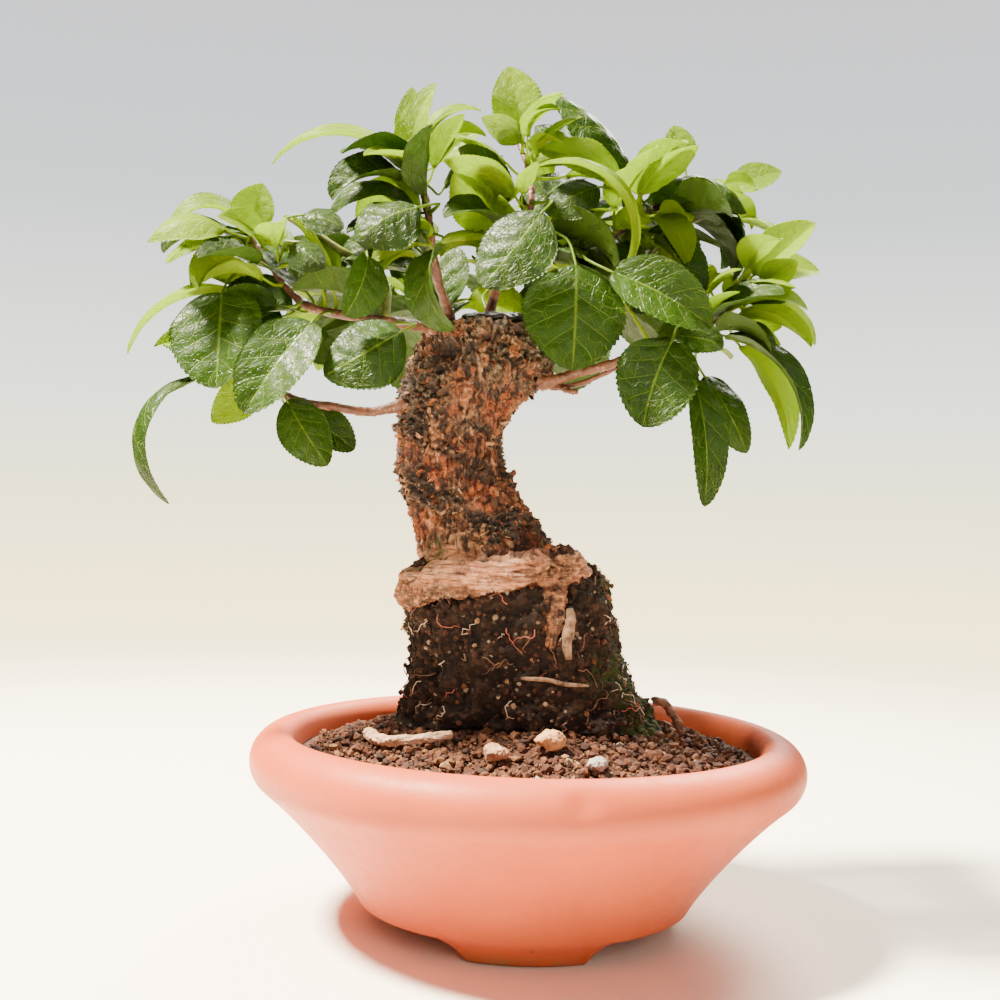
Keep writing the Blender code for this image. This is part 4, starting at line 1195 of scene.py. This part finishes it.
def make_cad_leaves():
    """A fine leaf for each CAD leaf, along the same line and as wide."""
    for node in sorted(NODES):
        kind = node.split("_")[0]
        if kind not in ("mature", "young"):
            continue
        sections, tip = sections_of(node)
        stalk = [section.mean(0) for section in sections[:4]]
        stalk.insert(0, stalk[0] - (stalk[1] - stalk[0]) / np.linalg.norm(stalk[1] - stalk[0]) * (1.2 * MM))
        facts = [section_facts(section) for section in sections[4:]]
        centres = [stalk[-1]] + [fact[0] for fact in facts] + [tip]
        ups = [facts[0][1]] + [fact[1] for fact in facts] + [facts[-1][1]]
        _, _, half, lift = max(facts, key=lambda fact: fact[2])
        make_leaf(node.replace("leaf", "blade"), kind, np.array(stalk), np.array(centres), np.array(ups),
                  math.hypot(half, lift) * 0.97, math.atan2(lift, half), (node,))


def compass(heading):
    """The heading's azimuth and elevation in degrees."""
    return math.degrees(math.atan2(heading.y, heading.x)), math.degrees(math.asin(heading.z))


def frame_leaf(base, azimuth, elevation, roll, droop, length):
    """The middle line and upward directions of a leaf that curves evenly downwards."""
    azimuth, elevation, roll, droop = (math.radians(v) for v in (azimuth, elevation, roll, droop))
    heading = Vector((math.cos(elevation) * math.cos(azimuth), math.cos(elevation) * math.sin(azimuth),
                      math.sin(elevation)))
    side = Matrix.Rotation(-roll, 3, heading) @ Vector((0, 0, 1)).cross(heading).normalized()
    up = heading.cross(side)
    centres, ups = [], []
    for step in range(9):
        angle = droop * step / 8
        reach = length / droop
        sunk = reach * (1 - math.cos(angle))
        centres.append(np.array(base + heading * (reach * math.sin(angle)) - up * sunk))
        ups.append(np.array(up * math.cos(angle) + heading * math.sin(angle)))
    return heading, np.array(centres), np.array(ups)


def grow_leaf(name, row, fits=None):
    """A leaf beyond the CAD's own, given as in the CAD, with a stalk from the nearest branch, if it fits."""
    kind, base, azimuth, elevation, roll, droop, length, width, fold = row
    base = CROWN + Vector(base) * MM
    heading, centres, ups = frame_leaf(base, azimuth, elevation, roll, droop, length * MM)
    if fits and not fits(kind, centres, ups, width / 2 * MM):
        return False
    seats = [tree.find_nearest(base - heading * 4 * MM) for tree in STEM_TREES]
    seat, normal, _, _ = min(seats, key=lambda hit: hit[3])
    pull = (base - seat).length * 0.45
    controls = (seat - normal * 0.8 * MM, seat + normal * pull, base - heading * pull, base)
    stalk = [sum((w * c for w, c in zip(bezier_weights(step / 5), controls)), Vector()) for step in range(6)]
    make_leaf(name, kind, np.array(stalk), centres, ups, width / 2 * MM, math.radians(fold))
    return True


# Smaller leaves that fill the crown: kind, then the same values as a CAD leaf.
MORE_LEAVES = (
    ("mature", (-28, -34, 14), -75, -60, 40, 65, 17, 14, 20),
    ("mature", (-46, -24, 26), -30, -5, -55, 45, 12, 9, -15),
    ("mature", (-48, -28, 18), -45, -15, -45, 65, 12, 10, -18),
    ("young", (-16, -8, 42), -125, 60, -140, 125, 27, 9, 18),
    ("young", (-13, 15, 50), -15, 45, -85, 25, 15, 9, 15),
    ("young", (35, -20, 38), -145, 25, 80, 55, 23, 11, 15),
    ("mature", (25, -14, 47), -165, 40, 65, 45, 14, 11, -12),
    ("young", (55, 5, 49), -145, 70, 120, 25, 11, 9, 12),
    ("young", (69, -5, 32), -10, -10, -15, 45, 17, 9, 15),
    ("young", (-59, 5, -15), -160, -30, 60, 35, 19, 13, 12),
    ("young", (-4, 22, 12), -10, -5, -50, 35, 19, 16, 12),
)


def make_more_leaves():
    for number, row in enumerate(MORE_LEAVES, 1):
        grow_leaf(f"{row[0]}_filler_{number:02d}", row)


def has_room(kind, centres, ups, half_width):
    """Whether the blade stays in the crown's own space and clear of the wood and of every other blade."""
    for centre in centres:
        spot = Vector(centre) - CROWN
        if not all(low + 3 * MM < at < high - 3 * MM for at, low, high in zip(centre, cad_low, cad_high)):
            return False
        over_trunk = abs(spot.x) < 27 * MM
        if spot.z < (11 * MM if over_trunk and spot.y < 0 else 3 * MM if abs(spot.x) < 45 * MM else -9 * MM):
            return False
        dome = cad_high[2] - 8 * MM - 0.36 * abs(centre[0] - AXIS.x)
        if spot.y < -34 * MM or centre[2] > dome:
            return False
    blade = blade_tree(kind, centres, ups, half_width + 0.5 * MM)
    return not any(blade.overlap(other) for other in GROWN + WOOD)


FILL_COUNT = 210
FILL_TRIES = 16000


def branch_spots():
    """The middle, normal and size of each triangle of the branches."""
    spots = []
    for points, triangles in map(node_mesh, BRANCH_NODES):
        for corners in triangles:
            a, b, c = (Vector(points[i]) for i in corners)
            across = (b - a).cross(c - a)
            spots.append(((a + b + c) / 3, across.normalized(), across.length))
    return spots


def fill_crown():
    """Leaves sprouting all along the branches, so the crown is full from every side.

    Each grows from a random place on a branch, away from the crown's heart and a little upwards; young leaves
    are commoner further out.
    """
    rng = random.Random(11)
    heart = CROWN + Vector((0, 4 * MM, 14 * MM))
    spots = branch_spots()
    weights = [area for _, _, area in spots]
    made = {"mature": 0, "young": 0}
    for _ in range(FILL_TRIES):
        place, normal, _ = rng.choices(spots, weights)[0]
        away = place - heart
        wander = drift(rng, (0, 0.4), (0, 0.4), (0.3, 0.35))
        heading = (normal * 0.7 + away.normalized() * 0.9 + wander).normalized()
        high = place.z > CROWN.z + 40 * MM
        fresh = 0.12 + away.length / (170 * MM) + (0.12 if away.x < 0 else 0)
        kind = "young" if high or rng.random() < fresh else "mature"
        length = rng.uniform(17, 29) if kind == "mature" else rng.uniform(12, 24)
        width = length * (rng.uniform(0.60, 0.80) if kind == "mature" else rng.uniform(0.48, 0.66))
        base = (place + heading * (rng.uniform(4, 10) * MM) - CROWN) / MM
        row = (kind, base, *compass(heading), rng.gauss(0, 36), rng.uniform(25, 105), length, width,
               rng.choice((-14, 10, 18, 28)))
        if (place - CROWN).length < 12 * MM:
            continue
        if grow_leaf(f"{kind}_spray_{made[kind] + 1:02d}", row, fits=has_room):
            made[kind] += 1
            if sum(made.values()) == FILL_COUNT:
                break


# This year's shoots and a bare stub: points from the crown's middle in millimetres, radius, greenness.
SHOOTS = (
    (((-26, -14, 12), (-38, -18, 19), (-50, -20, 26)), 1.05, 0.85),
    (((-30, -10, 12), (-40, -14, 19), (-54, -14, 21)), 0.75, 0.85),
    (((40, -10, 16), (47, -14, 24), (51, -16, 34)), 1.0, 0.85),
    (((40, -6, 20), (48, -8, 27), (60, -8, 32)), 0.8, 0.85),
    (((-20, 6, 18), (-24, 16, 30), (-26, 24, 38)), 0.9, 0.85),
    (((26, 10, 20), (34, 22, 28), (40, 32, 34)), 0.9, 0.85),
    (((4, 14, 14), (6, 28, 26), (8, 40, 34)), 0.9, 0.85),
    (((20, -4, -15), (28, -7, -13.5), (37, -10, -9.5)), 0.7, 0.0),
    (((22, -5, -14.5), (24.5, -8, -16), (26.5, -9, -16.2)), 0.85, 0.0),
)


def crown_tip(name, tip, ahead, rng):
    """A few small young leaves fanned around the end of a shoot."""
    side = ahead.orthogonal().normalized()
    for index in range(4):
        turn = Matrix.Rotation(math.tau * (index + rng.uniform(-0.2, 0.2)) / 4, 3, ahead)
        lean = (ahead + (turn @ side) * rng.uniform(0.5, 1.1) + Vector((0, 0, 0.25))).normalized()
        base = tip + lean * (rng.uniform(2.5, 4.5) * MM)
        length = rng.uniform(9, 16) * MM
        half = length * rng.uniform(0.22, 0.3)
        _, centres, ups = frame_leaf(base, *compass(lean), rng.gauss(0, 25), rng.uniform(20, 60), length)
        if not has_room("young", centres, ups, half):
            continue
        stalk = [tip - ahead * (0.6 * MM), tip.lerp(base, 0.35), tip.lerp(base, 0.7), base]
        make_leaf(f"{name}_{index + 1}", "young", np.array(stalk), centres, ups, half, math.radians(20),
                  tone=rng.uniform(0.6, 1.0))


def make_shoots():
    shoots = Joined()
    rng = random.Random(3)
    for number, (places, radius, green) in enumerate(SHOOTS, 1):
        line = [np.array(CROWN + Vector(place) * MM) for place in places]
        first = min((tree.find_nearest(Vector(line[0])) for tree in STEM_TREES), key=lambda hit: hit[3])
        line.insert(0, np.array(first[0] - first[1] * 0.6 * MM))
        route = smooth_line(line, 24)
        radii = []
        for step in range(25):
            knot = 0.22 * math.exp(-(((step % 8) - 4) / 0.9) ** 2)
            radii.append(radius * MM * (1.15 - 0.35 * step / 24 + knot))
        shoots.add(*tube_mesh(route, radii, 12), green)
        if green > 0.5:
            ahead = Vector(route[-1] - route[-3]).normalized()
            crown_tip(f"tip_leaf_{number}", Vector(route[-1]), ahead, rng)
    settle(shoots.piece("green_shoots", MATERIALS["twig"]), "twig")


# ---- studio

# The haze's colour at each height of the line of sight, and each lamp's place from the pot's foot, size and
# power.
HAZE_LOW, HAZE_SPAN = -0.3, 0.8
HAZE_STRENGTH = 5.0
AMBIENT_STRENGTH = 0.8  # the haze is seen brighter than it lights, as behind an object lit by a strong lamp
HAZE = (
    (-0.3, (1.0, 0.90, 0.66)),
    (-0.08, (0.88, 0.72, 0.36)),
    (0.0, (0.60, 0.54, 0.35)),
    (0.06, (0.45, 0.46, 0.40)),
    (0.2, (0.25, 0.265, 0.27)),
    (0.34, (0.225, 0.225, 0.235)),
)
LAMPS = (
    ("key", (-0.72, -0.12, 1.36), 0.24, 270, (1.0, 0.90, 0.74)),
    ("back", (0.45, 0.95, 1.1), 0.7, 60, (1.0, 0.95, 0.84)),
    ("fill", (0.5, -1.1, 0.45), 0.9, 8, (1.0, 0.97, 0.92)),
)


def make_stage():
    radius, sides = 2.2, 96
    points = [(radius * math.cos(math.tau * k / sides), radius * math.sin(math.tau * k / sides), 0.0)
              for k in range(sides)]
    new_piece("floor", points, [tuple(range(sides))], MATERIALS["floor"])
    s = Shader(bpy.data.worlds.new("studio"))
    bpy.context.scene.world = s.holder
    height = s.spread(s.axis(s.node("TexCoord").outputs["Generated"], "Z"), HAZE_LOW, HAZE_LOW + HAZE_SPAN)
    colour = s.ramp(height, [((height - HAZE_LOW) / HAZE_SPAN, colour) for height, colour in HAZE])
    seen = s.node("LightPath").outputs["Is Camera Ray"]
    s.feed(s.nodes["Background"].inputs["Color"], colour)
    s.feed(s.nodes["Background"].inputs["Strength"], s.spread(seen, 0, 1, AMBIENT_STRENGTH, HAZE_STRENGTH))
    for name, place, size, power, colour in LAMPS:
        light = bpy.data.lights.new(name, "AREA")
        light.energy, light.size, light.color = power, size, colour
        lamp = bpy.data.objects.new(name, light)
        bpy.context.scene.collection.objects.link(lamp)
        lamp.location = Vector(place) + AXIS
        aim = Vector((AXIS.x, AXIS.y, 0.1)) - lamp.location
        lamp.rotation_euler = aim.to_track_quat("-Z", "Y").to_euler()


def make_camera():
    """A 50 mm lens 38 cm from the pot's axis, just above the root mound's top, level and slightly rolled."""
    camera = bpy.data.objects.new("camera", bpy.data.cameras.new("camera"))
    camera.data.lens, camera.data.sensor_width = 50, 36
    camera.data.clip_start = 0.01
    bpy.context.scene.collection.objects.link(camera)
    place = AXIS + Vector((-9.4 * MM, -380 * MM, 116 * MM))
    aim = Matrix.Rotation(math.radians(90 - 0.25), 4, "X") @ Matrix.Rotation(math.radians(1.6), 4, "Z")
    camera.matrix_world = Matrix.Translation(place) @ aim
    bpy.context.scene.camera = camera


make_camera()
make_stage()
make_pot()
make_soil()
mound_tree = node_tree("root_mound")
scatter_crumbs(mound_tree)
mound = make_mound()
dress_mound(mound)
for stone in ("ochre_stone", "brown_stone", "grey_stone"):
    make_skin(stone + "_worn", stone, 0.28, stone, stone_lift)
for tone in ("pale", "dark"):
    make_skin(tone + "_surface_root_skin", tone + "_surface_root", 0.3, tone + "_root", root_lift)
trunk = make_trunk()
make_flakes(trunk)
make_skin("sealed_cut", "wound_paste", 0.4, "paste", paste_lift)
make_branches(trunk)
make_cad_leaves()
make_more_leaves()
fill_crown()
make_shoots()
NODES["drain_mesh"].data.materials[0] = MATERIALS["drain_mesh"]
